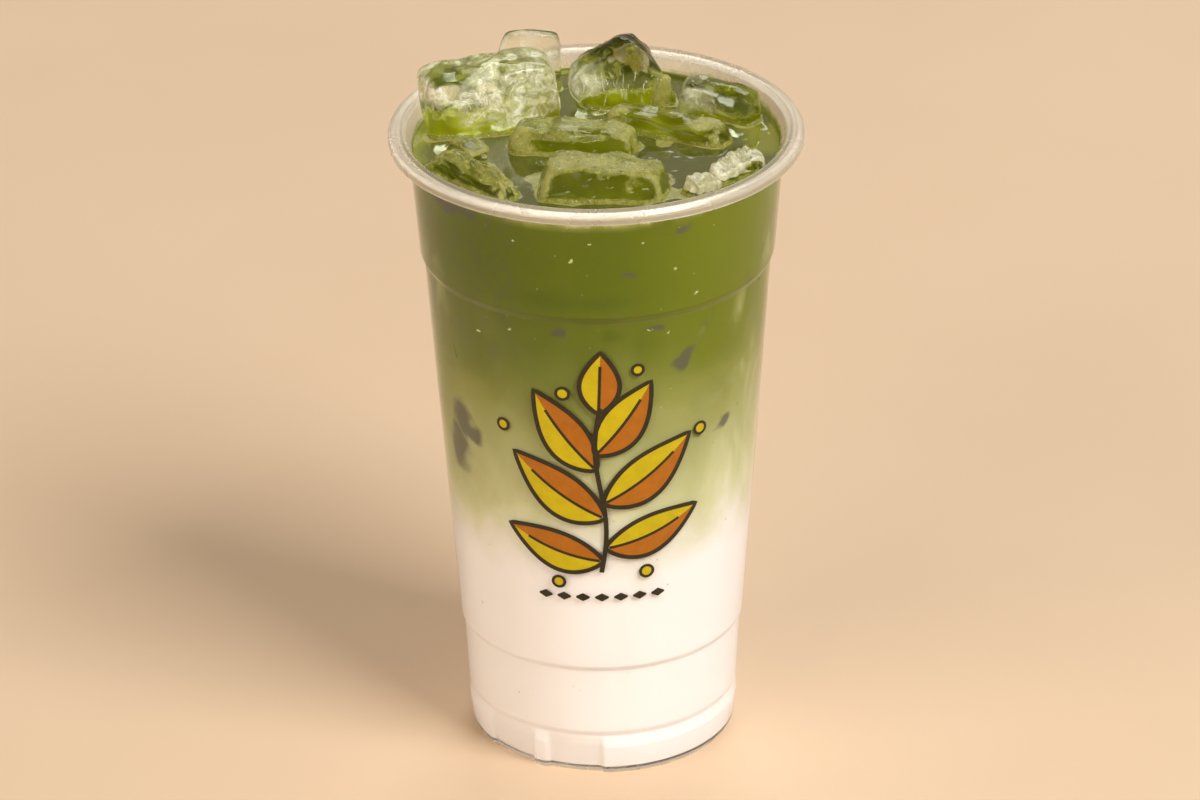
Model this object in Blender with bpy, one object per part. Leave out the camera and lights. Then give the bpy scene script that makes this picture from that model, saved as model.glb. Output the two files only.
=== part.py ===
"""Iced matcha latte in a tall clear plastic cup.

Milk fills the lower half of the cup, matcha tea floats on it, and melting ice stands out of the top.
The cup stands on the XY plane with its axis on Z. The side that carries the print faces -Y.
Every length is in metres.
"""

import math

import bmesh
import bpy
from mathutils import Euler, Vector, noise

# Cup: a formed sheet; radii are of its outer skin
CUP_HEIGHT = 0.1528
SHEET = 0.0008
BAND_TOP_Z = 0.1490
BAND_TOP_RADIUS = 0.0429
BAND_FOOT_Z = 0.1235
BAND_FOOT_RADIUS = 0.0408
STEP_DROP = 0.0018
WALL_TOP_RADIUS = 0.0399
RING_Z = 0.0294
WALL_FOOT_RADIUS = 0.0333
RING_DEPTH = 0.0005
RING_DROP = 0.0010
BASE_TOP_Z = 0.0114
BASE_TOP_RADIUS = 0.0318
GROOVE_DEPTH = 0.0006
GROOVE_HEIGHT = 0.0014
FOOT_BULGE_RADIUS = 0.0317
FOOT_BULGE_Z = 0.0070
SKIN_LIFT = 0.25

# Rim: an inner bead, a shallow groove and an outer flange whose edge turns down
RIM_RADIUS = 0.0475
THROAT_RADIUS = 0.0434
BEAD_WIDTH = 0.0008
GROOVE_INSET = 0.0023
RIM_GROOVE_DEPTH = 0.0006
FLANGE_INSET = 0.0014
FLANGE_DROP = 0.0002
EDGE_ROUND = 0.0010
LIP_WIDTH = 0.0008
LIP_DROP = 0.0028
RIM_UNDER_DROP = 0.0017

# Foot: a ring to stand on, a moat above it and a raised floor
FOOT_RADIUS = 0.0305
FOOT_LIP = 0.0016
FOOT_ROUND = 0.0009
MOAT_RADIUS = 0.0283
MOAT_Z = 0.0010
FLOOR_Z = 0.0030
FLOOR_RADIUS = 0.0264

# Stacking recesses in the foot, in degrees round the cup; the front of the cup is at -90
RECESS_DEPTH = 0.0009
RECESS_CENTRES = (-118.5, 61.5)
RECESS_HALF = 27.0
RAMP = 1.8
RIB_HALF = 2.6
RECESS_STEPS = 6
PAD_STEPS = 21

# Drink
FIT = 0.0003
LEVEL_Z = 0.1475
LAYER_Z = 0.0690

# Ice, as name, centre, size, turn in degrees, share of its width kept at the top, seed
ICE = (
    ("ice_back_left", (-0.0248, 0.0158, 0.1520), (0.0316, 0.0174, 0.0190), (-5, -3, 16), 0.96, 1),
    ("ice_far_back", (-0.0155, 0.0320, 0.1528), (0.0160, 0.0046, 0.0185), (-6, 4, 8), 0.84, 2),
    ("ice_peak", (0.0058, 0.0264, 0.1506), (0.0205, 0.0115, 0.0200), (-6, -27, 8), 0.90, 3),
    ("ice_right_back", (0.0288, 0.0164, 0.1482), (0.0198, 0.0078, 0.0150), (4, 3, -24), 0.94, 4),
    ("ice_low_right", (0.0162, 0.0076, 0.1480), (0.0325, 0.0090, 0.0075), (8, 3, -22), 0.80, 5),
    ("ice_horn", (0.0150, 0.0168, 0.1523), (0.0044, 0.0034, 0.0110), (4, 4, 0), 0.45, 6),
    ("ice_middle", (-0.0052, -0.0005, 0.1475), (0.0315, 0.0108, 0.0110), (-4, 2, -6), 0.88, 7),
    ("ice_front", (0.0014, -0.0220, 0.1478), (0.0312, 0.0176, 0.0120), (-8, 3, -5), 0.84, 8),
    ("ice_left_front", (-0.0278, -0.0194, 0.1475), (0.0290, 0.0070, 0.0100), (-24, 4, -47), 0.70, 9),
    ("ice_left_small", (-0.0293, -0.0057, 0.1478), (0.0072, 0.0110, 0.0080), (6, 8, 36), 0.80, 10),
    ("ice_right_front", (0.0316, -0.0158, 0.1480), (0.0165, 0.0065, 0.0090), (14, -8, 42), 0.72, 11),
    ("ice_ribbed_chip", (0.0232, -0.0256, 0.1478), (0.0085, 0.0056, 0.0080), (10, 6, 34), 0.78, 12),
)
ICE_CUTS = 3
ICE_ROUNDNESS = 0.30
ICE_BALL = 1.25
ICE_DENT = 0.0011
ICE_DENT_PITCH = 0.0090
NOISE_SEED = 7
ICE_ROOM = 0.00045
WALL_FILM = 0.0013
WALL_GAP = 0.0003
WET_EDGE = 0.0010


def clear_objects():
    """Removes what the file opened with."""
    for old in list(bpy.data.objects):
        bpy.data.objects.remove(old, do_unlink=True)


def plain_material(name, colour, roughness, transmission=0.0, alpha=1.0):
    """A Principled material of one colour."""
    material = bpy.data.materials.new(name)
    material.use_nodes = True
    shader = material.node_tree.nodes["Principled BSDF"]
    shader.inputs["Base Color"].default_value = (*colour, 1.0)
    shader.inputs["Roughness"].default_value = roughness
    shader.inputs["Metallic"].default_value = 0.0
    shader.inputs["Transmission Weight"].default_value = transmission
    shader.inputs["Alpha"].default_value = alpha
    material.diffuse_color = (*colour, alpha)
    return material


def new_object(name, mesh_builder, material):
    """Turns a bmesh into a named object with faces that point out."""
    bmesh.ops.recalc_face_normals(mesh_builder, faces=mesh_builder.faces)
    mesh = bpy.data.meshes.new(name)
    mesh_builder.to_mesh(mesh)
    mesh_builder.free()
    mesh.materials.append(material)
    mesh.shade_smooth()
    mesh.set_sharp_from_angle(angle=math.radians(32))
    thing = bpy.data.objects.new(name, mesh)
    bpy.context.scene.collection.objects.link(thing)
    return thing


def spread(start, end, count):
    """Angles from start up to but without end, in even steps."""
    return [start + (end - start) * step / count for step in range(count)]


def ring_angles():
    """Angles round the cup in degrees, closest where the foot has its recesses and ribs."""
    angles = []
    for number, centre in enumerate(RECESS_CENTRES):
        next_centre = RECESS_CENTRES[(number + 1) % len(RECESS_CENTRES)]
        if next_centre <= centre:
            next_centre += 360.0
        rib_start = centre - RIB_HALF
        rib_end = centre + RIB_HALF
        recess_start = centre - RECESS_HALF
        recess_end = centre + RECESS_HALF
        angles += [recess_start - RAMP]
        angles += spread(recess_start, rib_start - RAMP, RECESS_STEPS)
        angles += [rib_start - RAMP, rib_start, rib_end]
        angles += spread(rib_end + RAMP, recess_end, RECESS_STEPS)
        angles += [recess_end]
        angles += spread(recess_end + RAMP, next_centre - RECESS_HALF - RAMP, PAD_STEPS)
    return angles


def recess_share(angle):
    """How much of the recess depth the foot has at an angle: 1 in a recess, 0 on a pad or a rib."""
    share = 0.0
    for centre in RECESS_CENTRES:
        away = abs((angle - centre + 180.0) % 360.0 - 180.0)
        outer_edge = (RECESS_HALF + RAMP - away) / RAMP
        inner_edge = (away - RIB_HALF) / RAMP
        share = max(share, min(outer_edge, inner_edge, 1.0))
    return share


def turned(rows):
    """Turns rows of radius, height and recess weight into a closed bmesh; end rows lie on the axis."""
    builder = bmesh.new()
    angles = ring_angles()
    rings = []
    for radius, height, recess_weight in rows:
        if radius == 0.0:
            rings.append([builder.verts.new((0.0, 0.0, height))])
            continue
        ring = []
        for angle in angles:
            reach = radius - RECESS_DEPTH * recess_weight * recess_share(angle)
            turn = math.radians(angle)
            ring.append(builder.verts.new((reach * math.cos(turn), reach * math.sin(turn), height)))
        rings.append(ring)
    for first, second in zip(rings, rings[1:]):
        for i in range(len(angles)):
            j = (i + 1) % len(angles)
            if len(first) == 1:
                builder.faces.new((first[0], second[j], second[i]))
            elif len(second) == 1:
                builder.faces.new((first[i], first[j], second[0]))
            elif first[0].co.z <= second[0].co.z:
                builder.faces.new((first[i], first[j], second[j]))
                builder.faces.new((first[i], second[j], second[i]))
            else:
                builder.faces.new((first[i], first[j], second[i]))
                builder.faces.new((first[j], second[j], second[i]))
    return builder


def wall_rows(inset):
    """The side of the cup from its foot up to the throat, moved in from the outer skin."""
    slope = (WALL_TOP_RADIUS - WALL_FOOT_RADIUS) / (BAND_FOOT_Z - STEP_DROP - RING_Z)
    lift = inset * SKIN_LIFT
    return [
        (FOOT_BULGE_RADIUS - inset, FOOT_BULGE_Z, 1.0),
        (BASE_TOP_RADIUS - GROOVE_DEPTH - inset, BASE_TOP_Z - GROOVE_HEIGHT + lift, 0.0),
        (BASE_TOP_RADIUS - inset, BASE_TOP_Z + lift, 0.0),
        (WALL_FOOT_RADIUS - RING_DEPTH - slope * RING_DROP - inset, RING_Z - RING_DROP + lift, 0.0),
        (WALL_FOOT_RADIUS - inset, RING_Z + lift, 0.0),
        (WALL_TOP_RADIUS - inset, BAND_FOOT_Z - STEP_DROP + lift, 0.0),
        (BAND_FOOT_RADIUS - inset, BAND_FOOT_Z + lift, 0.0),
        (BAND_TOP_RADIUS - inset, BAND_TOP_Z, 0.0),
    ]


def skin_radius(height, inset):
    """Radius of the cup's side at a height above the foot band, moved in from the outer skin."""
    rows = wall_rows(inset)
    for (low_radius, low, _), (high_radius, high, _) in zip(rows, rows[1:]):
        if height <= high:
            share = max(0.0, (height - low) / (high - low))
            return low_radius + (high_radius - low_radius) * share
    return rows[-1][0]


def make_cup(material):
    """The cup: one thin formed sheet with a flanged rim, a wide upper band, two rings and a foot."""
    underside = [
        (0.0, FLOOR_Z, 0.0),
        (FLOOR_RADIUS, FLOOR_Z, 0.0),
        (FOOT_RADIUS - FOOT_LIP - FOOT_ROUND, FOOT_ROUND / 3, 1.0),
        (FOOT_RADIUS - FOOT_LIP, 0.0, 1.0),
        (FOOT_RADIUS, 0.0, 1.0),
        (FOOT_RADIUS + FOOT_ROUND * 0.7, FOOT_ROUND * 1.3, 1.0),
    ]
    rim = [
        (THROAT_RADIUS + BEAD_WIDTH, CUP_HEIGHT - RIM_UNDER_DROP, 0.0),
        (RIM_RADIUS - LIP_WIDTH, CUP_HEIGHT - RIM_UNDER_DROP, 0.0),
        (RIM_RADIUS - LIP_WIDTH, CUP_HEIGHT - LIP_DROP, 0.0),
        (RIM_RADIUS, CUP_HEIGHT - LIP_DROP, 0.0),
        (RIM_RADIUS, CUP_HEIGHT - EDGE_ROUND, 0.0),
        (RIM_RADIUS - EDGE_ROUND / 2, CUP_HEIGHT - FLANGE_DROP * 2, 0.0),
        (RIM_RADIUS - FLANGE_INSET, CUP_HEIGHT - FLANGE_DROP, 0.0),
        (RIM_RADIUS - GROOVE_INSET, CUP_HEIGHT - RIM_GROOVE_DEPTH, 0.0),
        (THROAT_RADIUS + BEAD_WIDTH, CUP_HEIGHT, 0.0),
        (THROAT_RADIUS, CUP_HEIGHT - BEAD_WIDTH, 0.0),
    ]
    inside = list(reversed(wall_rows(SHEET)))
    floor = [
        (FOOT_RADIUS - SHEET + FIT, MOAT_Z + SHEET, 1.0),
        (MOAT_RADIUS, MOAT_Z, 1.0),
        (FLOOR_RADIUS, FLOOR_Z + SHEET, 0.0),
        (0.0, FLOOR_Z + SHEET, 0.0),
    ]
    return new_object("cup", turned(underside + wall_rows(0.0) + rim + inside + floor), material)


def make_milk(material):
    """The milk, from the floor of the cup and the moat in its foot up to the matcha."""
    inset = SHEET + FIT
    below = [
        (0.0, FLOOR_Z + inset, 0.0),
        (FLOOR_RADIUS + FIT, FLOOR_Z + inset, 0.0),
        (MOAT_RADIUS + FIT * 0.6, MOAT_Z + FIT * 1.3, 1.0),
        (FOOT_RADIUS - inset, MOAT_Z + SHEET + FIT * 1.3, 1.0),
    ]
    side = [row for row in wall_rows(inset) if row[1] < LAYER_Z]
    top = LAYER_Z - FIT / 2
    rows = below + side + [(skin_radius(top, inset), top, 0.0), (0.0, top, 0.0)]
    return new_object("milk", turned(rows), material)


def make_matcha(material):
    """The matcha tea, from the milk up to the level below the rim."""
    inset = SHEET + FIT
    foot = LAYER_Z + FIT / 2
    side = [row for row in wall_rows(inset) if foot < row[1] < LEVEL_Z]
    rows = [(0.0, foot, 0.0), (skin_radius(foot, inset), foot, 0.0)]
    rows += side
    rows += [(skin_radius(LEVEL_Z, inset), LEVEL_Z, 0.0), (0.0, LEVEL_Z, 0.0)]
    return new_object("matcha", turned(rows), material)


def ice_builder(centre, size, turn, top_share, seed, swell):
    """One melting block: a rounded, tapered and dented box, pressed in where it meets the cup."""
    builder = bmesh.new()
    bmesh.ops.create_cube(builder, size=2.0)
    bmesh.ops.subdivide_edges(builder, edges=builder.edges[:], cuts=ICE_CUTS, use_grid_fill=True)
    half = Vector(size) / 2
    turn_matrix = Euler([math.radians(angle) for angle in turn]).to_matrix()
    drift = Vector((seed * 7.3, seed * -3.1, seed * 5.7))
    for vert in builder.verts:
        flat = vert.co.copy()
        round_point = flat.normalized() * ICE_BALL
        point = flat.lerp(round_point, ICE_ROUNDNESS)
        narrowing = 1.0 - (1.0 - top_share) * (flat.z + 1.0) / 2.0
        place = Vector((point.x * half.x * narrowing, point.y * half.y * narrowing, point.z * half.z))
        dent = noise.noise_vector(place / ICE_DENT_PITCH + drift) * ICE_DENT
        place = turn_matrix @ (place + dent + point * swell) + Vector(centre)
        reach = math.hypot(place.x, place.y)
        margin = SHEET + FIT
        if place.z < LEVEL_Z + WET_EDGE:
            margin += WALL_FILM
        limit = skin_radius(place.z, margin + WALL_GAP) + swell
        if reach > limit and place.z < CUP_HEIGHT + BEAD_WIDTH:
            place.x *= limit / reach
            place.y *= limit / reach
        vert.co = place
    bmesh.ops.triangulate(builder, faces=builder.faces[:])
    return builder


def make_ice(material):
    """All ice blocks, each its own object."""
    blocks = []
    for name, centre, size, turn, top_share, seed in ICE:
        builder = ice_builder(centre, size, turn, top_share, seed, 0.0)
        blocks.append(new_object(name, builder, material))
    return blocks


def cut_round_ice(drink, material):
    """Cuts the room that the sunk part of every ice block takes out of the drink."""
    for name, centre, size, turn, top_share, seed in ICE:
        builder = ice_builder(centre, size, turn, top_share, seed, ICE_ROOM)
        cutter = new_object(name + "_room", builder, material)
        cut = drink.modifiers.new("ice", "BOOLEAN")
        cut.operation = "DIFFERENCE"
        cut.solver = "EXACT"
        cut.object = cutter
        bpy.context.view_layer.update()
        evaluated = drink.evaluated_get(bpy.context.evaluated_depsgraph_get())
        result = bpy.data.meshes.new_from_object(evaluated)
        drink.modifiers.remove(cut)
        drink.data = result
        bpy.data.objects.remove(cutter, do_unlink=True)


def main():
    clear_objects()
    noise.seed_set(NOISE_SEED)
    clear_plastic = plain_material("clear_plastic", (0.93, 0.94, 0.92), 0.12, 0.9, 0.3)
    milk_white = plain_material("milk_white", (0.90, 0.88, 0.80), 0.35)
    matcha_green = plain_material("matcha_green", (0.13, 0.22, 0.02), 0.30)
    ice_clear = plain_material("ice_clear", (0.82, 0.88, 0.74), 0.08, 0.9, 0.5)
    make_cup(clear_plastic)
    make_milk(milk_white)
    matcha = make_matcha(matcha_green)
    make_ice(ice_clear)
    cut_round_ice(matcha, matcha_green)


main()
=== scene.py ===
import math
import random

import bmesh
import bpy
from mathutils import Matrix, Vector, noise
from mathutils.bvhtree import BVHTree


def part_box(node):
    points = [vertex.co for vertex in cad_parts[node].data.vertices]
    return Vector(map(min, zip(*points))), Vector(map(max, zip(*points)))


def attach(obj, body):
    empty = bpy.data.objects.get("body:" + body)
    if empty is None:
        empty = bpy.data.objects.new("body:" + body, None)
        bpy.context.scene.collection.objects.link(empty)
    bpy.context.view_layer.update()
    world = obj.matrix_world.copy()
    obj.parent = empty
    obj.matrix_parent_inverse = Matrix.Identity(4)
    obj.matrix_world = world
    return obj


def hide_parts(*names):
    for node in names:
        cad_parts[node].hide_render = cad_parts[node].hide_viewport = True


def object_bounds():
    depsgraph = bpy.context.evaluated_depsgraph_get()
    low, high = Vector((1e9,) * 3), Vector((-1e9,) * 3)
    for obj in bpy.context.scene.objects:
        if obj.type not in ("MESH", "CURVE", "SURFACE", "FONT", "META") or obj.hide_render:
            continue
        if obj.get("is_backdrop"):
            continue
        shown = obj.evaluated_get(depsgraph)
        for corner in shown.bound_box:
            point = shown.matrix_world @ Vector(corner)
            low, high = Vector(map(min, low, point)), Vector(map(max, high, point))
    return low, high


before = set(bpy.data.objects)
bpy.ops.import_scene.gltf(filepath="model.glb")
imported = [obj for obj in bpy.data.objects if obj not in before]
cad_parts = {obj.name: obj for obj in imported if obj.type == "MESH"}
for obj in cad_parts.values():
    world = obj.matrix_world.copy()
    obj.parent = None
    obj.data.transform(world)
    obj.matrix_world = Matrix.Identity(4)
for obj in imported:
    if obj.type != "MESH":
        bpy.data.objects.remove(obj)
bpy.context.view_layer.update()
noise.seed_set(7)


# Camera
# A long lens one and a half metres away looks down on the cup at 27 degrees, as the photo was taken.
# The photo leans a little, so the camera is rolled by less than a degree.
CAMERA_PLACE = Vector((0.0, -1.336957, 0.764944))
CAMERA_AIM = Vector((0.000111, 0.0, 0.082554))
CAMERA_ROLL = math.radians(-0.713)
PICTURE_WIDTH = 1200
LENS_IN_PIXELS = 6445.275
SENSOR = 36.0

forward = (CAMERA_AIM - CAMERA_PLACE).normalized()
level_right = forward.cross(Vector((0.0, 0.0, 1.0))).normalized()
level_up = level_right.cross(forward)
camera_right = level_right * math.cos(CAMERA_ROLL) + level_up * math.sin(CAMERA_ROLL)
camera_up = level_up * math.cos(CAMERA_ROLL) - level_right * math.sin(CAMERA_ROLL)
lens = bpy.data.cameras.new("photo_lens")
lens.sensor_width = SENSOR
lens.lens = LENS_IN_PIXELS / PICTURE_WIDTH * SENSOR
lens.clip_start = 0.05
camera = bpy.data.objects.new("photo_camera", lens)
turn = Matrix((camera_right, camera_up, -forward)).transposed()
camera.matrix_world = Matrix.Translation(CAMERA_PLACE) @ turn.to_4x4()
bpy.context.scene.collection.objects.link(camera)
bpy.context.scene.camera = camera


# Floor and light
# A plain pale floor of warm card with a faint mottle, wide enough to fill every view.
# One large soft lamp stands high at the right and to the front, and a weak one fills from the left.
FLOOR_REACH = 9.0
FLOOR_LIGHT = (0.880, 0.660, 0.455)
FLOOR_DARK = (0.850, 0.630, 0.427)


def fill(tree, node, sockets):
    """Links each named socket of a node, or gives it its value."""
    for key, value in sockets.items():
        if isinstance(value, bpy.types.NodeSocket):
            tree.links.new(value, node.inputs[key])
        else:
            node.inputs[key].default_value = value


def add(tree, kind, sockets=None, **settings):
    """A new node, with its settings made and its sockets filled."""
    node = tree.nodes.new(kind)
    for key, value in settings.items():
        setattr(node, key, value)
    fill(tree, node, sockets or {})
    return node


def new_material(name):
    """An empty node material, with its tree and its Principled shader."""
    material = bpy.data.materials.new(name)
    material.use_nodes = True
    return material, material.node_tree, material.node_tree.nodes["Principled BSDF"]


def place_on(tree, scale=(1.0, 1.0, 1.0)):
    """The place on the piece, in metres, stretched by a scale along each axis."""
    coordinates = add(tree, "ShaderNodeTexCoord")
    sockets = {"Vector": coordinates.outputs["Object"], "Scale": scale}
    return add(tree, "ShaderNodeMapping", sockets).outputs["Vector"]


def noise_on(tree, scale, detail, where=None, **more):
    """Soft noise over the piece, from 0 to 1."""
    sockets = {"Vector": where or place_on(tree), "Scale": scale, "Detail": detail, **more}
    return add(tree, "ShaderNodeTexNoise", sockets).outputs["Fac"]


def ramp(tree, value, *stops):
    """A colour ramp through stops, each a position and a linear colour."""
    node = add(tree, "ShaderNodeValToRGB", {"Fac": value})
    elements = node.color_ramp.elements
    while len(elements) < len(stops):
        elements.new(0.5)
    for element, (position, colour) in zip(elements, stops):
        element.position = position
        element.color = (*colour, 1.0)
    return node.outputs["Color"]


def new_piece(name, mesh, *materials):
    """A named object at the origin with a mesh and its materials."""
    for material in materials:
        mesh.materials.append(material)
    piece = bpy.data.objects.new(name, mesh)
    bpy.context.scene.collection.objects.link(piece)
    return piece


floor_card, tree, shader = new_material("floor_card")
mottle = ramp(tree, noise_on(tree, 9.0, 6.0), (0.3, FLOOR_DARK), (0.7, FLOOR_LIGHT))
fill(tree, shader, {"Base Color": mottle, "Roughness": 0.75, "Specular IOR Level": 0.2})
sheet = bpy.data.meshes.new("floor")
corners = [(x * FLOOR_REACH, y * FLOOR_REACH, 0.0) for x, y in ((-1, -1), (1, -1), (1, 1), (-1, 1))]
sheet.from_pydata(corners, [], [(0, 1, 2, 3)])
new_piece("floor", sheet, floor_card)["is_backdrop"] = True

# As name, place, width, power and tint
LAMPS = (
    ("key_lamp", (1.25, -1.05, 1.75), 1.1, 43.5, (1.0, 0.99, 0.98)),
    ("fill_lamp", (-1.5, -1.3, 0.9), 1.7, 21.0, (1.0, 0.88, 0.76)),
    ("back_lamp", (0.25, 1.6, 1.5), 0.9, 12.0, (1.0, 0.98, 0.95)),
)
for name, place, width, power, tint in LAMPS:
    lamp = bpy.data.lights.new(name, "AREA")
    lamp.shape = "SQUARE"
    lamp.size = width
    lamp.energy = power
    lamp.color = tint
    stand = bpy.data.objects.new(name, lamp)
    stand.location = place
    aim = Vector((0.0, 0.0, 0.08)) - Vector(place)
    stand.rotation_euler = aim.to_track_quat("-Z", "Y").to_euler()
    bpy.context.scene.collection.objects.link(stand)
world = bpy.data.worlds.new("studio")
world.use_nodes = True
# The room is pale at eye height and dim overhead, so that the ice has something dark to reflect
ROOM_PALE = (0.93, 0.80, 0.64)
ROOM_DIM = (0.10, 0.10, 0.09)
ROOM_STRENGTH = 0.42
sky = world.node_tree
direction = add(sky, "ShaderNodeTexCoord").outputs["Generated"]
rise = add(sky, "ShaderNodeSeparateXYZ", {0: direction}).outputs["Z"]
room = ramp(sky, rise, (0.0, ROOM_PALE), (0.40, ROOM_PALE), (0.68, ROOM_DIM))
fill(sky, sky.nodes["Background"], {"Color": room, "Strength": ROOM_STRENGTH})
bpy.context.scene.world = world
bpy.context.scene.view_settings.view_transform = "Standard"


# Cup
# The real cup is one sheet of clear polypropylene, heated and drawn into a mould, so it is a little hazy.
# Its rim is rolled thick: an inner bead, a groove and an outer flange whose edge turns down.
SHEET = 0.0008
# The skin leans, so the corners of its inner side lie a little higher than those of the outer
SHEET_RISE = SHEET * 0.25
RIM_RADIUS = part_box("cup")[1].x + 0.00004
CUP_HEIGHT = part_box("cup")[1].z
THROAT_Z = 0.14
FLOOR_Z = 0.0030
FLOOR_RADIUS = 0.0264
MOAT_Z = 0.0010
MOAT_RADIUS = 0.0283
FOOT_RADIUS = 0.0305
FOOT_TOP_Z = 0.0070
GROOVE_Z = 0.0100
# Outer skin of the side from the foot up, as radius, height and fillet
WALL = (
    (0.0317, FOOT_TOP_Z, 0.0040),
    (0.0312, GROOVE_Z, 0.0006),
    (0.0318, 0.0114, 0.0005),
    (0.0327, 0.0284, 0.0008),
    (0.0333, 0.0294, 0.0006),
    (0.0399, 0.1217, 0.0010),
    (0.0408, 0.1235, 0.0010),
    (0.0429, 0.1490, 0.0006),
)
# Top of the rim, as inset from its outer radius, drop from its top and fillet
RIM = (
    (0.0041, 0.0008, 0.0003),
    (0.0033, 0.0000, 0.0004),
    (0.0023, 0.0006, 0.0004),
    (0.0014, 0.0002, 0.0005),
    (0.0005, 0.0004, 0.0005),
    (0.0000, 0.0010, 0.0005),
    (0.0000, 0.0028, 0.0002),
    (0.0008, 0.0028, 0.0002),
    (0.0008, 0.0017, 0.0002),
    (0.0033, 0.0017, 0.0003),
)
FOOT = (
    (0.0311, 0.0012, 0.0006),
    (FOOT_RADIUS, 0.0, 0.0004),
    (0.0289, 0.0, 0.0003),
    (0.0280, 0.0003, 0.0003),
    (FLOOR_RADIUS, FLOOR_Z, 0.0008),
    (0.0, FLOOR_Z, 0.0),
)
STEPS_ROUND = 400
FILLET_STEPS = 4
AXIS_RING = 0.001
WELD = 0.000002
# Stacking recess in the foot, with a rib at its middle: depth in metres, and angles in degrees
RECESS_DEPTH = 0.0009
RECESS_CENTRE = -118.5
RECESS_HALF = 27.0
RIB_HALF = 2.6
RAMP = 1.8


def reckon(tree, operation, first, second=0.0, third=0.0, clamp=False):
    """The result of one sum on sockets or numbers."""
    sockets = {0: first, 1: second, 2: third}
    return add(tree, "ShaderNodeMath", sockets, operation=operation, use_clamp=clamp).outputs[0]


def ranged(tree, value, low, high, to_low=0.0, to_high=1.0, step="LINEAR"):
    """A value moved from the range low to high into another one."""
    sockets = {"Value": value, "From Min": low, "From Max": high, "To Min": to_low, "To Max": to_high}
    return add(tree, "ShaderNodeMapRange", sockets, interpolation_type=step).outputs[0]


def open_tree(name, inputs):
    """A Geometry Nodes tree with named inputs, and the sockets that give them inside it."""
    tree = bpy.data.node_groups.new(name, "GeometryNodeTree")
    for key, kind in inputs.items():
        tree.interface.new_socket(key, in_out="INPUT", socket_type="NodeSocket" + kind)
    tree.interface.new_socket("Form", in_out="OUTPUT", socket_type="NodeSocketGeometry")
    return tree, add(tree, "NodeGroupInput").outputs


def close_tree(tree, form, material):
    """The tree, ended: its form made real, shaded soft and given its material."""
    real = add(tree, "GeometryNodeRealizeInstances", {"Geometry": form}).outputs[0]
    soft = add(tree, "GeometryNodeSetShadeSmooth", {"Geometry": real}).outputs[0]
    painted = add(tree, "GeometryNodeSetMaterial", {"Geometry": soft, "Material": material}).outputs[0]
    add(tree, "NodeGroupOutput", {"Form": painted})
    return tree


def mark_in(tree, name, kind="FLOAT"):
    """A named value of the mesh's points, inside a Geometry Nodes tree."""
    return add(tree, "GeometryNodeInputNamedAttribute", {"Name": name}, data_type=kind).outputs["Attribute"]


def turning_tree():
    """Sweeps a profile of radius and height round the cup's axis, and presses the foot's recesses in."""
    inputs = {"Profile": "Geometry", "Steps Round": "Int", "Fillet Steps": "Int", "Material": "Material"}
    inputs |= dict.fromkeys(("Recess Depth", "Recess Centre", "Recess Half", "Rib Half", "Ramp"), "Float")
    tree, given = open_tree("turned_on_the_axis", inputs)
    line = add(tree, "GeometryNodeMeshToCurve", {"Mesh": given["Profile"]}).outputs["Curve"]
    rounded = {"Curve": line, "Count": given["Fillet Steps"], "Radius": mark_in(tree, "fillet")}
    rounded = add(tree, "GeometryNodeFilletCurve", {**rounded, "Limit Radius": True}, mode="POLY")
    ring = {"Resolution": given["Steps Round"], "Radius": AXIS_RING}
    ring = add(tree, "GeometryNodeCurvePrimitiveCircle", ring, mode="RADIUS").outputs["Curve"]
    swept = add(tree, "GeometryNodeCurveToMesh", {"Curve": ring, "Profile Curve": rounded.outputs["Curve"]})
    place = add(tree, "GeometryNodeInputPosition").outputs[0]
    parts = add(tree, "ShaderNodeSeparateXYZ", {0: place}).outputs
    flat = add(tree, "ShaderNodeCombineXYZ", {"X": parts["X"], "Y": parts["Y"]}).outputs[0]
    radius = add(tree, "ShaderNodeVectorMath", {0: flat}, operation="LENGTH").outputs["Value"]
    outward = add(tree, "ShaderNodeVectorMath", {0: flat}, operation="NORMALIZE").outputs[0]
    angle = reckon(tree, "DEGREES", reckon(tree, "ARCTAN2", parts["Y"], parts["X"]))
    angle = reckon(tree, "WRAP", reckon(tree, "SUBTRACT", angle, given["Recess Centre"]), 90.0, -90.0)
    away = reckon(tree, "ABSOLUTE", angle)
    outer = reckon(tree, "SUBTRACT", reckon(tree, "ADD", given["Recess Half"], given["Ramp"]), away)
    inner = reckon(tree, "SUBTRACT", away, given["Rib Half"])
    share = reckon(tree, "DIVIDE", reckon(tree, "MINIMUM", outer, inner), given["Ramp"])
    share = ranged(tree, share, 0.0, 1.0, step="SMOOTHSTEP")
    low = ranged(tree, parts["Z"], FOOT_TOP_Z, GROOVE_Z, 1.0, 0.0)
    wide = ranged(tree, radius, FLOOR_RADIUS, MOAT_RADIUS)
    depth = reckon(tree, "MULTIPLY", share, given["Recess Depth"])
    press = reckon(tree, "MULTIPLY", reckon(tree, "MULTIPLY", low, wide), depth)
    offset = {0: outward, "Scale": reckon(tree, "MULTIPLY", press, -1.0)}
    offset = add(tree, "ShaderNodeVectorMath", offset, operation="SCALE").outputs[0]
    pressed = add(tree, "GeometryNodeSetPosition", {"Geometry": swept.outputs[0], "Offset": offset})
    closed = add(tree, "GeometryNodeMergeByDistance", {"Geometry": pressed.outputs[0], "Distance": WELD})
    return close_tree(tree, closed.outputs[0], given["Material"])


TURNED = turning_tree()


def evaluated_mesh(piece):
    """The plain mesh that a piece's modifiers make."""
    graph = bpy.context.evaluated_depsgraph_get()
    evaluated = piece.evaluated_get(graph)
    return bpy.data.meshes.new_from_object(evaluated, preserve_all_data_layers=True, depsgraph=graph)


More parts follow.
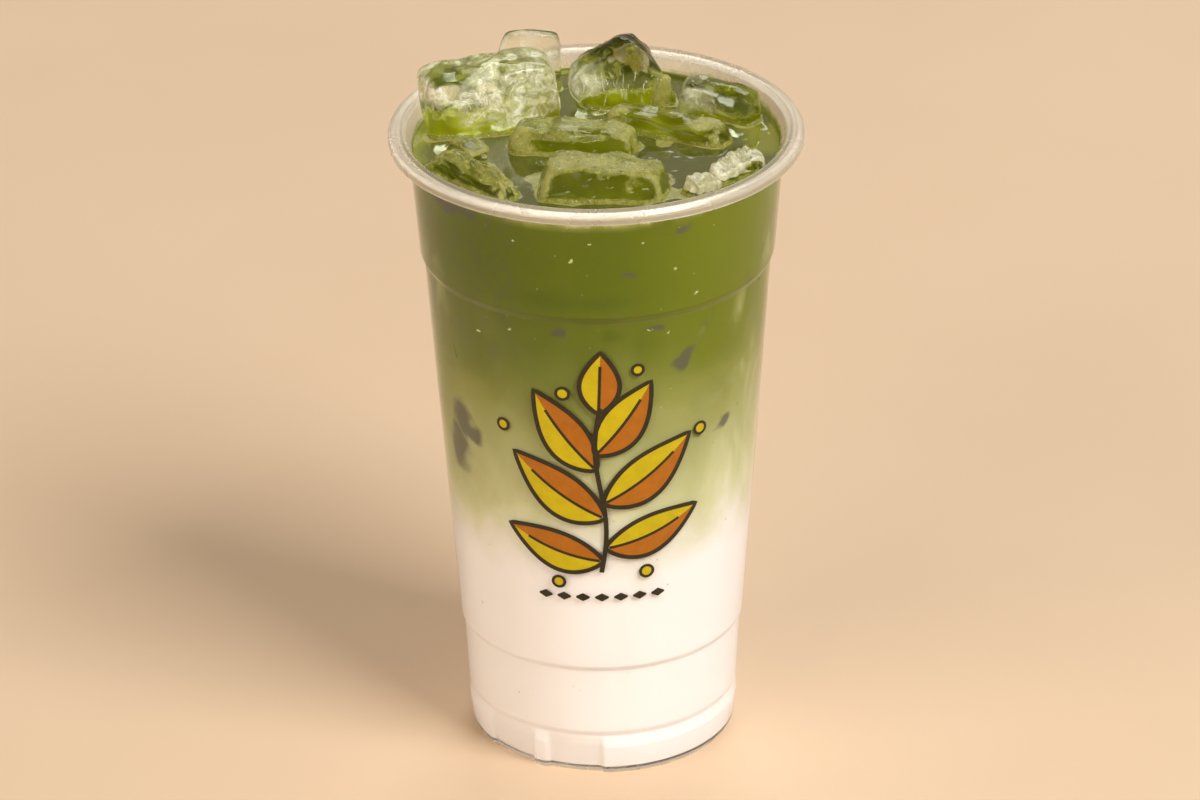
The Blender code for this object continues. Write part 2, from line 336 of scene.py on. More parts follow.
def grown(name, start, tree, values):
    """A plain mesh object that a Geometry Nodes tree makes from a starting mesh."""
    piece = new_piece(name, start)
    modifier = piece.modifiers.new("grow", "NODES")
    modifier.node_group = tree
    for item in tree.interface.items_tree:
        if item.name in values:
            modifier[item.identifier] = values[item.name]
    mesh = evaluated_mesh(piece)
    piece.modifiers.clear()
    piece.data = mesh
    return piece


def write_marks(mesh, marks):
    """Writes lists of values on the mesh's points, each under its name."""
    for name, values in marks.items():
        mesh.attributes.new(name, "FLOAT", "POINT").data.foreach_set("value", values)


def turned_piece(name, rows, material):
    """A solid turned from rows of radius, height and fillet, from the top's centre outwards and down."""
    profile = bpy.data.meshes.new(name + "_profile")
    points = [(radius - AXIS_RING, -height, 0.0) for radius, height, _ in rows]
    profile.from_pydata(points, [(i, i + 1) for i in range(len(rows) - 1)], [])
    write_marks(profile, {"fillet": [row[2] for row in rows]})
    values = {
        "Steps Round": STEPS_ROUND,
        "Fillet Steps": FILLET_STEPS,
        "Recess Depth": RECESS_DEPTH,
        "Recess Centre": RECESS_CENTRE,
        "Recess Half": RECESS_HALF,
        "Rib Half": RIB_HALF,
        "Ramp": RAMP,
        "Material": material,
    }
    piece = grown(name, profile, TURNED, values)
    builder = bmesh.new()
    builder.from_mesh(piece.data)
    bmesh.ops.recalc_face_normals(builder, faces=builder.faces)
    builder.to_mesh(piece.data)
    builder.free()
    piece.data.shade_smooth()
    return piece


def let_lamps_through(tree, shader, tint):
    """Makes a clear material cast no shadow of its own, only a slight tint."""
    path = add(tree, "ShaderNodeLightPath")
    clear = add(tree, "ShaderNodeBsdfTransparent", {"Color": (*tint, 1.0)})
    sockets = {0: path.outputs["Is Shadow Ray"], 1: shader.outputs[0], 2: clear.outputs[0]}
    both = add(tree, "ShaderNodeMixShader", sockets).outputs[0]
    fill(tree, tree.nodes["Material Output"], {"Surface": both})


def bump(tree, height, strength, distance):
    """The normal of a surface raised by a height pattern."""
    sockets = {"Height": height, "Strength": strength, "Distance": distance}
    return add(tree, "ShaderNodeBump", sockets).outputs[0]


def clear_plastic(name, haze, rough, light, dark):
    """Drawn polypropylene: clear, with faint draw lines, fingerprints and a share of milky haze."""
    material, tree, shader = new_material(name)
    lines = noise_on(tree, 1.0, 3.0, place_on(tree, (260.0, 260.0, 28.0)))
    marks = noise_on(tree, 55.0, 5.0, Roughness=0.6)
    sockets = {
        "Base Color": ramp(tree, marks, (0.3, light), (0.7, dark)),
        "Roughness": ranged(tree, marks, 0.35, 0.75, rough, rough + 0.12),
        "Normal": bump(tree, lines, 0.15, 0.0004),
        "Transmission Weight": 1.0 - haze,
        "IOR": 1.42,
    }
    fill(tree, shader, sockets)
    let_lamps_through(tree, shader, (0.97, 0.97, 0.96))
    return material


wall_plastic = clear_plastic("wall_plastic", 0.0, 0.06, (0.99, 0.98, 0.97), (0.96, 0.95, 0.93))
rim_plastic = clear_plastic("rim_plastic", 0.27, 0.23, (0.72, 0.66, 0.55), (0.65, 0.59, 0.48))
foot_plastic = clear_plastic("foot_plastic", 0.45, 0.25, (0.97, 0.96, 0.93), (0.93, 0.92, 0.88))

inside = []
for radius, height, fillet in WALL:
    inside.append((radius - SHEET, height + (SHEET_RISE if height < THROAT_Z else 0.0), fillet))
floor_rows = [
    (0.0, FLOOR_Z + SHEET, 0.0),
    (FLOOR_RADIUS, FLOOR_Z + SHEET, 0.0006),
    (MOAT_RADIUS, MOAT_Z, 0.0004),
    (FOOT_RADIUS - SHEET + 0.0003, MOAT_Z + SHEET, 0.0003),
]
rim_rows = [(RIM_RADIUS - inset, CUP_HEIGHT - drop, fillet) for inset, drop, fillet in RIM]
cup_rows = floor_rows + inside + rim_rows + list(reversed(WALL)) + list(FOOT)
cup = turned_piece("clear_cup", cup_rows, wall_plastic)
cup.data.materials.append(rim_plastic)
cup.data.materials.append(foot_plastic)
RIM_LOW_Z = CUP_HEIGHT - 0.0036
FOOT_HIGH_Z = MOAT_Z + SHEET + 0.0006
for face in cup.data.polygons:
    if face.center.z > RIM_LOW_Z:
        face.material_index = 1
    elif face.center.z < FOOT_HIGH_Z:
        face.material_index = 2
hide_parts("cup")
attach(cup, "root")


# Ice
# Clear bar ice, knocked together and half melted: every block is a rounded slab with hollows and soft edges.
# Each block keeps its CAD form and gets the fine melt relief, and some are ribbed where water ran down.
# As node, melt relief, ripple relief, rib relief and rib pitch, in metres
ICE_BLOCKS = (
    ("ice_back_left", 0.00090, 0.00022, 0.0, 0.0010),
    ("ice_far_back", 0.00025, 0.00008, 0.0, 0.0010),
    ("ice_peak", 0.00100, 0.00012, 0.00010, 0.0024),
    ("ice_right_back", 0.00080, 0.00018, 0.0, 0.0010),
    ("ice_low_right", 0.00100, 0.00010, 0.0, 0.0010),
    ("ice_horn", 0.00020, 0.00005, 0.0, 0.0010),
    ("ice_middle", 0.00100, 0.00010, 0.0, 0.0010),
    ("ice_front", 0.00090, 0.00010, 0.0, 0.0010),
    ("ice_left_front", 0.00060, 0.00008, 0.00027, 0.0018),
    ("ice_left_small", 0.00050, 0.00014, 0.0, 0.0010),
    ("ice_right_front", 0.00050, 0.00016, 0.00022, 0.0026),
    ("ice_ribbed_chip", 0.00020, 0.00005, 0.00022, 0.0020),
)
MELT_PITCH = 0.0055
RIPPLE_PITCH = 0.0014
RIB_WANDER_PITCH = 0.006
ICE_LEVELS = 3
ICE_CREASE = 0.22
CREASE_FROM = math.radians(38)
# Bend of an edge, in 1/m, at which it counts as fully sharp
FULL_EDGE = 260.0

LEVEL_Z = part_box("matcha")[1].z
# Painted refraction: the dark green of the tea that clear ice shows at its tops and edges, painted on its
# skin
# As node: share on the top, share on the edges, and the height above which all is painted
ICE_PAINTED_REFRACTION = {
    "ice_back_left": (0.30, 0.60, 1.0),
    "ice_far_back": (0.0, 0.55, 1.0),
    "ice_peak": (0.75, 0.65, 0.1550),
    "ice_right_back": (0.80, 0.70, 1.0),
    "ice_low_right": (0.25, 0.30, 1.0),
    "ice_left_front": (0.30, 0.20, 1.0),
    "ice_left_small": (0.35, 0.40, 1.0),
    "ice_right_front": (0.15, 0.45, 1.0),
    "ice_ribbed_chip": (0.05, 0.25, 1.0),
}
# Dark olive green of the painted refraction
PAINTED_TEA_REFRACTION = (0.135, 0.140, 0.006)
# Painted glow: green light from the drink that shines up into the ice, and the height over which it fades
PAINTED_ICE_GLOW = (0.66, 0.76, 0.14)
PAINTED_GLOW_RISE = 0.0055


def mark(tree, name):
    """A named value of the mesh's points, inside a material."""
    return add(tree, "ShaderNodeAttribute", attribute_name=name).outputs["Fac"]


def laid_over(tree, share, under, upper):
    """One colour laid over another by a share."""
    upper = upper if isinstance(upper, bpy.types.NodeSocket) else (*upper, 1.0)
    return add(tree, "ShaderNodeMix", {"Factor": share, 6: under, 7: upper}, data_type="RGBA").outputs[2]


clear_ice, tree, shader = new_material("clear_ice")
spots = noise_on(tree, 170.0, 5.0)
colour = ramp(tree, spots, (0.3, (0.97, 1.0, 0.93)), (0.75, (0.90, 0.95, 0.82)))
# Painted glow of the green light that shines up into the ice near the drink
colour = laid_over(tree, mark(tree, "tint"), colour, PAINTED_ICE_GLOW)
sockets = {
    # Painted refraction: the dark green of the tea, laid on the ice's tops and edges
    "Base Color": laid_over(tree, mark(tree, "painted_refraction"), colour, PAINTED_TEA_REFRACTION),
    "Roughness": ranged(tree, spots, 0.42, 0.75, 0.02, 0.22),
    "Normal": bump(tree, noise_on(tree, 420.0, 3.0), 0.30, 0.0003),
    "Transmission Weight": 1.0,
    "IOR": 1.31,
}
fill(tree, shader, sockets)
let_lamps_through(tree, shader, (0.93, 0.95, 0.90))


def mesh_from(builder, name):
    """A smooth mesh from a bmesh, which is then freed."""
    mesh = bpy.data.meshes.new(name)
    builder.to_mesh(mesh)
    builder.free()
    mesh.shade_smooth()
    return mesh


def smooth_copy(node_name):
    """A rounded, finely divided copy of a CAD node's mesh."""
    builder = bmesh.new()
    builder.from_mesh(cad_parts[node_name].data)
    bmesh.ops.remove_doubles(builder, verts=builder.verts, dist=WELD)
    angles = {"angle_face_threshold": math.radians(50), "angle_shape_threshold": math.radians(75)}
    bmesh.ops.join_triangles(builder, faces=builder.faces, **angles)
    crease = builder.edges.layers.float.new("crease_edge")
    for edge in builder.edges:
        if edge.calc_face_angle(0.0) > CREASE_FROM:
            edge[crease] = ICE_CREASE
    form = new_piece(node_name + "_form", mesh_from(builder, node_name + "_form"))
    divide = form.modifiers.new("divide", "SUBSURF")
    divide.levels = ICE_LEVELS
    divide.render_levels = ICE_LEVELS
    mesh = evaluated_mesh(form)
    bpy.data.objects.remove(form, do_unlink=True)
    mesh.materials.clear()
    return mesh


def held(value):
    """A value kept between 0 and 1."""
    return min(max(value, 0.0), 1.0)


def edge_shares(mesh):
    """How sharply the form bends outwards at each point, from 0 on a flat to 1 on an edge."""
    near = [[] for _ in mesh.vertices]
    for edge in mesh.edges:
        a, b = edge.vertices
        near[a].append(b)
        near[b].append(a)
    bends = []
    for vertex, others in zip(mesh.vertices, near):
        middle = sum((mesh.vertices[i].co for i in others), Vector()) / len(others)
        reach = sum((mesh.vertices[i].co - vertex.co).length for i in others) / len(others)
        bends.append((vertex.co - middle).dot(vertex.normal) / (reach * reach) / FULL_EDGE)
    for _ in range(3):
        means = [sum(bends[j] for j in others) / len(others) for others in near]
        bends = [0.5 * bend + 0.5 * mean for bend, mean in zip(bends, means)]
    return [held(bend) for bend in bends]


def smooth(value, low, high):
    """0 below low, 1 above high, and a soft step between."""
    share = held((value - low) / (high - low))
    return share * share * (3.0 - 2.0 * share)


def mark_ice(mesh, node_name, bends, seed):
    """Writes the painted refraction of the tea at each point, and the painted glow of green light that shines
    up into it.
    """
    on_top, on_edge, full_height = ICE_PAINTED_REFRACTION.get(node_name, (0.0, 0.15, 1.0))
    drift = Vector((seed * 2.2, seed * 4.1, seed * -1.9))
    refraction_shares, painted_glows = [], []
    for vertex, bend in zip(mesh.vertices, bends):
        place = vertex.co
        patch = 0.80 + noise.noise(place * 240.0 + drift) * 0.9
        top = smooth(vertex.normal.z, 0.4, 0.9) * on_top
        full = smooth(place.z, full_height, full_height + 0.0025) * 1.2
        refraction_shares.append(held(max(top, bend * on_edge, full) * patch))
        above = place.z - LEVEL_Z
        far_left = smooth(-place.x, 0.026, 0.036) * smooth(place.y, -0.012, -0.004)
        # Painted glow: strongest at the drink's level, fading upwards, and rising higher at the far left
        tint = (1.0 - smooth(above, 0.0, PAINTED_GLOW_RISE * (1.0 + far_left))) * smooth(above, -0.0015, 0.0)
        painted_glows.append(held(tint * (0.65 + noise.noise(place * 150.0 - drift) * 0.6)))
    write_marks(mesh, {"painted_refraction": refraction_shares, "tint": painted_glows})


def push_out(mesh, push):
    """Moves each point along its normal by what push says for it."""
    normals = [vertex.normal.copy() for vertex in mesh.vertices]
    for vertex, normal in zip(mesh.vertices, normals):
        vertex.co += normal * push(vertex.co)
    mesh.update()


def melt(mesh, melt_depth, ripple_depth, rib_depth, rib_pitch, seed):
    """Moves the surface in and out by melt hollows, ripples and ribs."""
    drift = Vector((seed * 3.7, -seed * 2.9, seed * 1.3))

    def relief(place):
        hollow = noise.noise(place / MELT_PITCH + drift) * melt_depth
        ripple = (0.5 - abs(noise.noise(place / RIPPLE_PITCH - drift))) * ripple_depth
        along = place.x * 0.8 + place.y * 0.6 + place.z * 0.25
        wander = noise.noise(place / RIB_WANDER_PITCH + drift * 2.0) * rib_pitch
        return hollow + ripple + math.sin((along + wander) / rib_pitch * math.tau) * rib_depth

    push_out(mesh, relief)


ice_pieces = {}
edge_of = {}
for seed, (node_name, *depths) in enumerate(ICE_BLOCKS, 1):
    mesh = smooth_copy(node_name)
    edge_of[node_name] = edge_shares(mesh)
    mark_ice(mesh, node_name, edge_of[node_name], seed)
    melt(mesh, *depths, seed)
    block = new_piece(node_name + "_block", mesh, clear_ice)
    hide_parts(node_name)
    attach(block, "root")
    ice_pieces[node_name] = block


# Milk and matcha
# Cold milk lies under matcha tea, and the two have begun to run into each other in the middle of the cup.
# The drink is poured in, so it fills the cup up to the skin of its wall and closes round the sunk ice.
LAYER_Z = (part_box("matcha")[0].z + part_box("milk")[1].z) / 2
DRINK_INSET = SHEET - 0.00012
ROW_STEP = 0.0010
TOP_STEP = 0.0005
MENISCUS_RISE = 0.0011
MENISCUS_REACH = 0.0009
ICE_GRIP = 0.00012
# The milk laps a little up inside the tea and bites a little into the cup's floor, so that no gap shows
LAP = 0.0006
LAP_INSET = 0.00008
MILK_BITE = 0.0001


def skin_radius(height):
    """Radius of the cup's outer skin at a height."""
    for (low_radius, low, _), (high_radius, high, _) in zip(WALL, WALL[1:]):
        if height <= high:
            share = max(0.0, (height - low) / (high - low))
            return low_radius + (high_radius - low_radius) * share
    return WALL[-1][0]


def side_rows(low, high):
    """Rows down the side of the drink, from high to low, also at each corner of the wall."""
    steps = max(1, round((high - low) / ROW_STEP))
    heights = {high - (high - low) * step / steps for step in range(steps + 1)}
    heights |= {height + SHEET_RISE for _, height, _ in WALL if low < height + SHEET_RISE < high}
    return [(skin_radius(z - SHEET_RISE) - DRINK_INSET, z, 0.0) for z in sorted(heights, reverse=True)]


brim_z = LEVEL_Z + MENISCUS_RISE
brim_radius = skin_radius(brim_z) - DRINK_INSET
top_rows = []
for step in range(int(brim_radius / TOP_STEP) + 1):
    radius = step * TOP_STEP
    rise = MENISCUS_RISE * math.exp((radius - brim_radius) / MENISCUS_REACH)
    top_rows.append((radius, LEVEL_Z + rise, 0.0))
matcha_rows = top_rows + side_rows(LAYER_Z, brim_z) + [(0.0, LAYER_Z, 0.0)]
milk_floor = [
    (FOOT_RADIUS - SHEET + 0.0006, MOAT_Z + SHEET - MILK_BITE, 0.0),
    (MOAT_RADIUS, MOAT_Z - MILK_BITE, 0.0),
    (FLOOR_RADIUS, FLOOR_Z + SHEET - MILK_BITE, 0.0),
    (0.0, FLOOR_Z + SHEET - MILK_BITE, 0.0),
]
milk_neck = [(0.0, LAYER_Z + LAP, 0.0), (skin_radius(LAYER_Z) - DRINK_INSET - LAP_INSET, LAYER_Z + LAP, 0.0)]
milk_rows = milk_neck + side_rows(FOOT_TOP_Z, LAYER_Z) + milk_floor

# How far milk has risen into the tea: height in metres, share of milk
BLEND = (
    (0.046, 1.00),
    (0.052, 0.95),
    (0.059, 0.85),
    (0.066, 0.70),
    (0.074, 0.55),
    (0.085, 0.41),
    (0.097, 0.29),
    (0.110, 0.13),
    (0.121, 0.03),
    (0.150, 0.00),
)
# How far the slow swirls carry the blend up and down
SWIRL_DEPTH = 0.030
TEA = (0.107, 0.141, 0.001)
TEA_DEEP = (0.080, 0.116, 0.001)
TEA_MILKY = (0.285, 0.298, 0.072)
CREAM = (0.600, 0.597, 0.345)
MILK = (0.862, 0.822, 0.80)


def latte_colour():
    """Group: the drink's colour from milk to tea by height, with slow swirls and thin milky threads."""
    group = bpy.data.node_groups.new("latte_colour", "ShaderNodeTree")
    group.interface.new_socket("Shade", in_out="INPUT", socket_type="NodeSocketFloat")
    group.interface.new_socket("Threads", in_out="INPUT", socket_type="NodeSocketFloat")
    group.interface.new_socket("Colour", in_out="OUTPUT", socket_type="NodeSocketColor")
    given = add(group, "NodeGroupInput").outputs
    place = add(group, "ShaderNodeTexCoord").outputs["Object"]
    height = add(group, "ShaderNodeSeparateXYZ", {0: place}).outputs["Z"]
    slow = noise_on(group, 46.0, 4.0, place_on(group, (1.0, 1.0, 0.8)), Distortion=0.6)
    moved = reckon(group, "MULTIPLY_ADD", reckon(group, "SUBTRACT", slow, 0.5), SWIRL_DEPTH, height)
    low, high = BLEND[0][0], BLEND[-1][0]
    curve = add(group, "ShaderNodeFloatCurve", {"Value": ranged(group, moved, low, high)})
    points = curve.mapping.curves[0].points
    points[0].location = (0.0, BLEND[0][1])
    points[-1].location = (1.0, BLEND[-1][1])
    for at, share in BLEND[1:-1]:
        points.new((at - low) / (high - low), share)
    curve.mapping.update()
    threads = noise_on(group, 55.0, 5.0, place_on(group, (1.4, 1.4, 0.8)), Distortion=1.2)
    threads = ranged(group, threads, 0.38, 0.78, 0.0, 0.42, "SMOOTHSTEP")
    threads = reckon(group, "MULTIPLY", threads, given["Threads"])
    share = reckon(group, "ADD", curve.outputs[0], threads, clamp=True)
    colour = ramp(group, share, (0.0, TEA), (0.30, TEA_MILKY), (0.62, CREAM), (0.96, MILK))
    add(group, "NodeGroupOutput", {"Colour": laid_over(group, given["Shade"], colour, TEA_DEEP)})
    return group


LATTE = latte_colour()
TEA_LIT = (0.160, 0.190, 0.003)
FROTH = (0.225, 0.220, 0.035)
FROTH_PALE = (0.40, 0.385, 0.085)
POOL = (0.082, 0.083, 0.008)
GLOW = (0.285, 0.29, 0.004)
# Grey of the dull smudges, which is also painted shade on the left side of the tea
SMUDGE_AND_SHADE = (0.100, 0.095, 0.066)


def drink_material(name, top):
    """The drink: soft and even against the wall, wet and partly frothed on top."""
    material, tree, shader = new_material(name)
    shares = {"Shade": mark(tree, "shade"), "Threads": mark(tree, "threads")}
    under = add(tree, "ShaderNodeGroup", shares, node_tree=LATTE).outputs[0]
    if top:
        under = laid_over(tree, 0.8, under, POOL)
    under = laid_over(tree, mark(tree, "glow"), under, GLOW if top else TEA_LIT)
    grain = noise_on(tree, 700.0 if top else 320.0, 4.0, Roughness=0.65)
    # On the side this mark lays grey for the smudges and for the painted shade on the left
    mask = reckon(tree, "MULTIPLY_ADD", grain, 0.55, mark(tree, "froth" if top else "smudge_and_shade"))
    mask = ranged(tree, mask, 0.50, 1.05, 0.0, 1.0 if top else 0.85, "SMOOTHSTEP")
    cover = ramp(tree, grain, (0.35, FROTH), (0.70, FROTH_PALE)) if top else SMUDGE_AND_SHADE
    sockets = {"Base Color": laid_over(tree, mask, under, cover)}
    if top:
        height = reckon(tree, "MULTIPLY_ADD", mask, 0.35, noise_on(tree, 140.0, 2.0))
        sockets["Roughness"] = ranged(tree, mask, 0.0, 1.0, 0.05, 0.45)
        sockets["Normal"] = bump(tree, height, 0.35, 0.0006)
        sockets |= {"IOR": 1.34, "Coat Weight": 1.0}
    else:
        sockets |= {"Roughness": 0.6, "Specular IOR Level": 0.0}
    fill(tree, shader, sockets)
    return material


drink_side = drink_material("drink_side", False)
drink_top = drink_material("drink_top", True)
milk = turned_piece("milk_layer", milk_rows, drink_side)
matcha = turned_piece("matcha_layer", matcha_rows, drink_side)

for block in ice_pieces.values():
    plug = new_piece(block.name + "_plug", block.data.copy())
    push_out(plug.data, lambda place: -ICE_GRIP)
    cut = matcha.modifiers.new("cut", "BOOLEAN")
    cut.operation = "DIFFERENCE"
    cut.solver = "MANIFOLD"
    cut.object = plug
    result = evaluated_mesh(matcha)
    matcha.modifiers.clear()
    matcha.data = result
    bpy.data.objects.remove(plug, do_unlink=True)

# How far down the hollows round the ice still count as the drink's top
POCKET_DEPTH = 0.016
# How near to the wall or the level a point counts as on it
TOUCH = 0.0003


def on_side(place):
    """Whether a point of the drink lies against the wall."""
    return math.hypot(place.x, place.y) > skin_radius(place.z) - DRINK_INSET - TOUCH


matcha.data.attributes.remove(matcha.data.attributes["custom_normal"])
matcha.data.materials.clear()
matcha.data.materials.append(drink_side)
matcha.data.materials.append(drink_top)
for face in matcha.data.polygons:
    on_top = face.center.z > LEVEL_Z - POCKET_DEPTH
    face.material_index = 1 if on_top and not (on_side(face.center) and face.normal.z < 0.5) else 0

# Dull marks where sunk ice touches the wall, and clear deep green spots beside them.
# Spots on the wall are listed as angle from the front, height, half width, half height and lean
SMUDGES = (
    (-57.5, 0.0885, 0.0052, 0.0060, 20.0),
    (-62.0, 0.0800, 0.0060, 0.0075, -10.0),
    (-51.0, 0.0865, 0.0042, 0.0030, -30.0),
    (29.6, 0.1102, 0.0046, 0.0019, 36.0),
    (-13.1, 0.1190, 0.0021, 0.0012, 0.0),
    (9.0, 0.1346, 0.0030, 0.0010, 8.0),
    (27.2, 0.1449, 0.0044, 0.0013, 18.0),
    (18.6, 0.1187, 0.0026, 0.0010, -8.0),
    (49.2, 0.0896, 0.0034, 0.0014, 22.0),
    (-52.0, 0.1462, 0.0130, 0.0034, 4.0),
    (132.0, 0.1050, 0.0080, 0.0070, 20.0),
    (-150.0, 0.0930, 0.0060, 0.0100, -15.0),
    (95.0, 0.1260, 0.0070, 0.0030, -10.0),
)
DEEP_SPOTS = (
    (4.6, 0.1186, 0.0034, 0.0024, 0.0),
    (0.5, 0.1274, 0.0120, 0.0022, 3.0),
    (16.4, 0.1156, 0.0050, 0.0060, 0.0),
    (-17.0, 0.1279, 0.0110, 0.0040, 0.0),
    (47.3, 0.1097, 0.0060, 0.0070, 8.0),
    (43.6, 0.0989, 0.0070, 0.0050, 8.0),
    (160.0, 0.1180, 0.0080, 0.0060, 0.0),
)
# Where the milk has risen least
STILL_TEA = ((-20.0, 0.1085, 0.0190, 0.0150, 0.0),)
# Thin cloudy veils of milk that rise at the right, and their like at the back
VEILS = (
    (63.0, 0.1070, 0.0046, 0.0130, -6.0),
    (55.5, 0.1190, 0.0040, 0.0085, -22.0),
    (38.0, 0.1170, 0.0016, 0.0060, -35.0),
    (70.0, 0.1290, 0.0060, 0.0090, 0.0),
    (-66.0, 0.1220, 0.0060, 0.0130, 10.0),
    (120.0, 0.1120, 0.0060, 0.0150, 10.0),
    (-110.0, 0.1080, 0.0070, 0.0120, -12.0),
)


def spot_share(angle, height, spots):
    """How deep a point of the wall lies in the nearest of some oval spots: 1 at its middle, 0 outside."""
    best = 0.0
    for centre, middle, wide, tall, lean in spots:
        across = math.radians((angle - centre + 180.0) % 360.0 - 180.0) * skin_radius(height)
        up = height - middle
        lean = math.radians(lean)
        x = across * math.cos(lean) + up * math.sin(lean)
        z = up * math.cos(lean) - across * math.sin(lean)
        best = max(best, 1.0 - math.hypot(x / wide, z / tall) * 0.8)
    return best


# Rafts of froth that lie on the drink between the blocks: x, y and reach
RAFTS = (
    (-0.0150, -0.0170, 0.0060),
    (-0.0225, -0.0110, 0.0050),
    (-0.0180, -0.0205, 0.0050),
    (0.0185, -0.0260, 0.0045),
    (0.0150, 0.0000, 0.0035),
    (0.0345, 0.0030, 0.0030),
    (0.0020, 0.0110, 0.0030),
)
# Height from which froth lies between the drink and the wall
FROTH_RING_Z = 0.1463
# Where light from the wall shines up through the drink: side, inner edge, middle and half length
SHINING = ((1.0, 0.0310, 0.0030, 0.0110), (-1.0, 0.0365, 0.0020, 0.0150))


def raft_share(place):
    """How deep a point of the surface lies in the nearest raft: 1 at its middle, 0 outside."""
    return max(max(0.0, 1.0 - math.hypot(place.x - x, place.y - y) / reach) for x, y, reach in RAFTS)


ice_trees = {}
for node_name, block in ice_pieces.items():
    corners = [vertex.co for vertex in block.data.vertices]
    faces = [face.vertices[:] for face in block.data.polygons]
    ice_trees[node_name] = BVHTree.FromPolygons(corners, faces)


def froth_and_glow(place, radius):
    """Froth on the drink's top, and the light that shines through it or through its skin round the ice."""
    froth = 0.0
    glow = 0.0
    wall_gap = brim_radius - radius
    found = [tree.find_nearest(place, 0.006) for tree in ice_trees.values()]
    ice_gap = min([wall_gap] + [gap for spot, _, _, gap in found if spot is not None])
    if place.z > LEVEL_Z - TOUCH:
        patch = noise.noise(place * 130.0) * 0.5 + noise.noise(place * 330.0) * 0.25
        reach = 0.0012 + patch * 0.0030 + raft_share(place) * 0.0035
        froth = smooth(reach - ice_gap, 0.0, 0.0016)
        for side, inner, middle, half in SHINING:
            share = smooth(place.x * side + patch * 0.003, inner, inner + 0.006)
            glow = max(glow, 0.70 * share * smooth(half - abs(place.y - middle), 0.0, 0.006))
    if ice_gap < ICE_GRIP * 2.0:
        back = smooth(place.y, -0.010, 0.018)
        glow = (0.45 + 0.55 * back) * (0.75 + noise.noise(place * 160.0) * 0.5)
    return froth, glow


def paint_drink(piece):
    """Writes the froth, smudge, shade, thread and glow marks on the drink's points; the smudge mark also
    carries painted shade on the left side.
    """
    marks = {"froth": [], "smudge_and_shade": [], "shade": [], "threads": [], "glow": []}
    for vertex in piece.data.vertices:
        place = vertex.co
        radius = math.hypot(place.x, place.y)
        angle = math.degrees(math.atan2(place.x, -place.y))
        veil = smooth(spot_share(angle, place.z, VEILS), 0.0, 0.9)
        lit = smooth(angle, 0.0, 42.0) * smooth(165.0 - angle, 0.0, 40.0)
        froth, glow, ring = 0.0, 0.0, 0.0
        if place.z > LEVEL_Z - POCKET_DEPTH and radius < brim_radius - 0.0002:
            froth, glow = froth_and_glow(place, radius)
        if on_side(place):
            ring = smooth(place.z, FROTH_RING_Z, FROTH_RING_Z + 0.0008)
            glow = 0.95 * lit * smooth(place.z, 0.098, 0.112) * (1.0 - 0.9 * max(veil, ring))
        rough_angle = angle + noise.noise(place * 260.0) * 3.2
        rough_height = place.z + noise.noise(place * 240.0 + Vector((3.0, 5.0, 7.0))) * 0.0022
        smudge_and_shade = spot_share(rough_angle, rough_height, SMUDGES) * 1.15
        # Painted shade: the upper band of the tea's left side, away from the key lamp, is greyed
        left = smooth(-angle, 4.0, 34.0) * smooth(110.0 + angle, 0.0, 40.0)
        left_shade = 0.36 * left * smooth(place.z, 0.085, 0.115)
        deep = smooth(spot_share(angle, place.z, DEEP_SPOTS), 0.0, 0.9) * 0.75 * (1.0 - 0.75 * lit)
        still = 0.36 * smooth(spot_share(angle, place.z, STILL_TEA), 0.0, 0.6)
        right = smooth(angle, 28.0, 62.0) * smooth(150.0 - angle, 0.0, 40.0)
        drawn = right * (0.14 + 0.10 * smooth(0.132 - place.z, 0.0, 0.02))
        marks["froth"].append(froth)
        marks["smudge_and_shade"].append(max(smudge_and_shade, left_shade))
        marks["shade"].append(max(deep, still))
        marks["threads"].append(0.04 + drawn + 1.3 * veil + 1.9 * ring)
        marks["glow"].append(glow)
    write_marks(piece.data, marks)


for piece, node_name, slot in ((milk, "milk", "milk_white"), (matcha, "matcha", "matcha_green")):
    paint_drink(piece)
    piece.data.shade_smooth()
    piece.data.set_sharp_from_angle(angle=math.radians(50))
    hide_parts(node_name)
    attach(piece, "root")


# Froth on the ice
# Whisked tea foam that clings to the tops and edges of the ice and to the wall just above the drink.
# It is a thin film of tiny bubbles, laid on when the tea was poured over the ice.
# As node: how thickly the top and the edges of the block are covered
FROTH_COVER = {
    "ice_back_left": (0.05, 0.12),
    "ice_far_back": (0.0, 0.0),
    "ice_peak": (0.0, 0.10),
    "ice_right_back": (0.10, 0.25),
    "ice_low_right": (0.05, 0.78),
    "ice_horn": (1.0, 1.0),
    "ice_middle": (0.42, 1.0),
    "ice_front": (0.72, 1.0),
    "ice_left_front": (0.05, 1.0),
    "ice_left_small": (0.40, 0.80),
    "ice_right_front": (0.0, 0.0),
    "ice_ribbed_chip": (0.0, 0.0),
}
# Thick dabs of froth on the ice: x, y, height, reach and strength
DABS = (
    (-0.0200, -0.0040, 0.1490, 0.0060, 1.0),
    (0.0100, -0.0040, 0.1500, 0.0045, 0.9),
    (0.0245, 0.0040, 0.1500, 0.0050, 0.8),
    (0.0060, 0.0120, 0.1515, 0.0035, 0.9),
    (-0.0338, -0.0100, 0.1500, 0.0045, 0.9),
    (-0.0290, -0.0151, 0.1500, 0.0042, 0.8),
    (-0.0243, -0.0202, 0.1500, 0.0042, 0.8),
    (-0.0195, -0.0253, 0.1500, 0.0040, 0.7),
    (0.0150, 0.0165, 0.1550, 0.0072, 1.1),
)
FILM_LIFT = 0.00010
FILM_SINK = 0.00004
LEAST_COVER = 0.12
WET_BAND = 0.0012

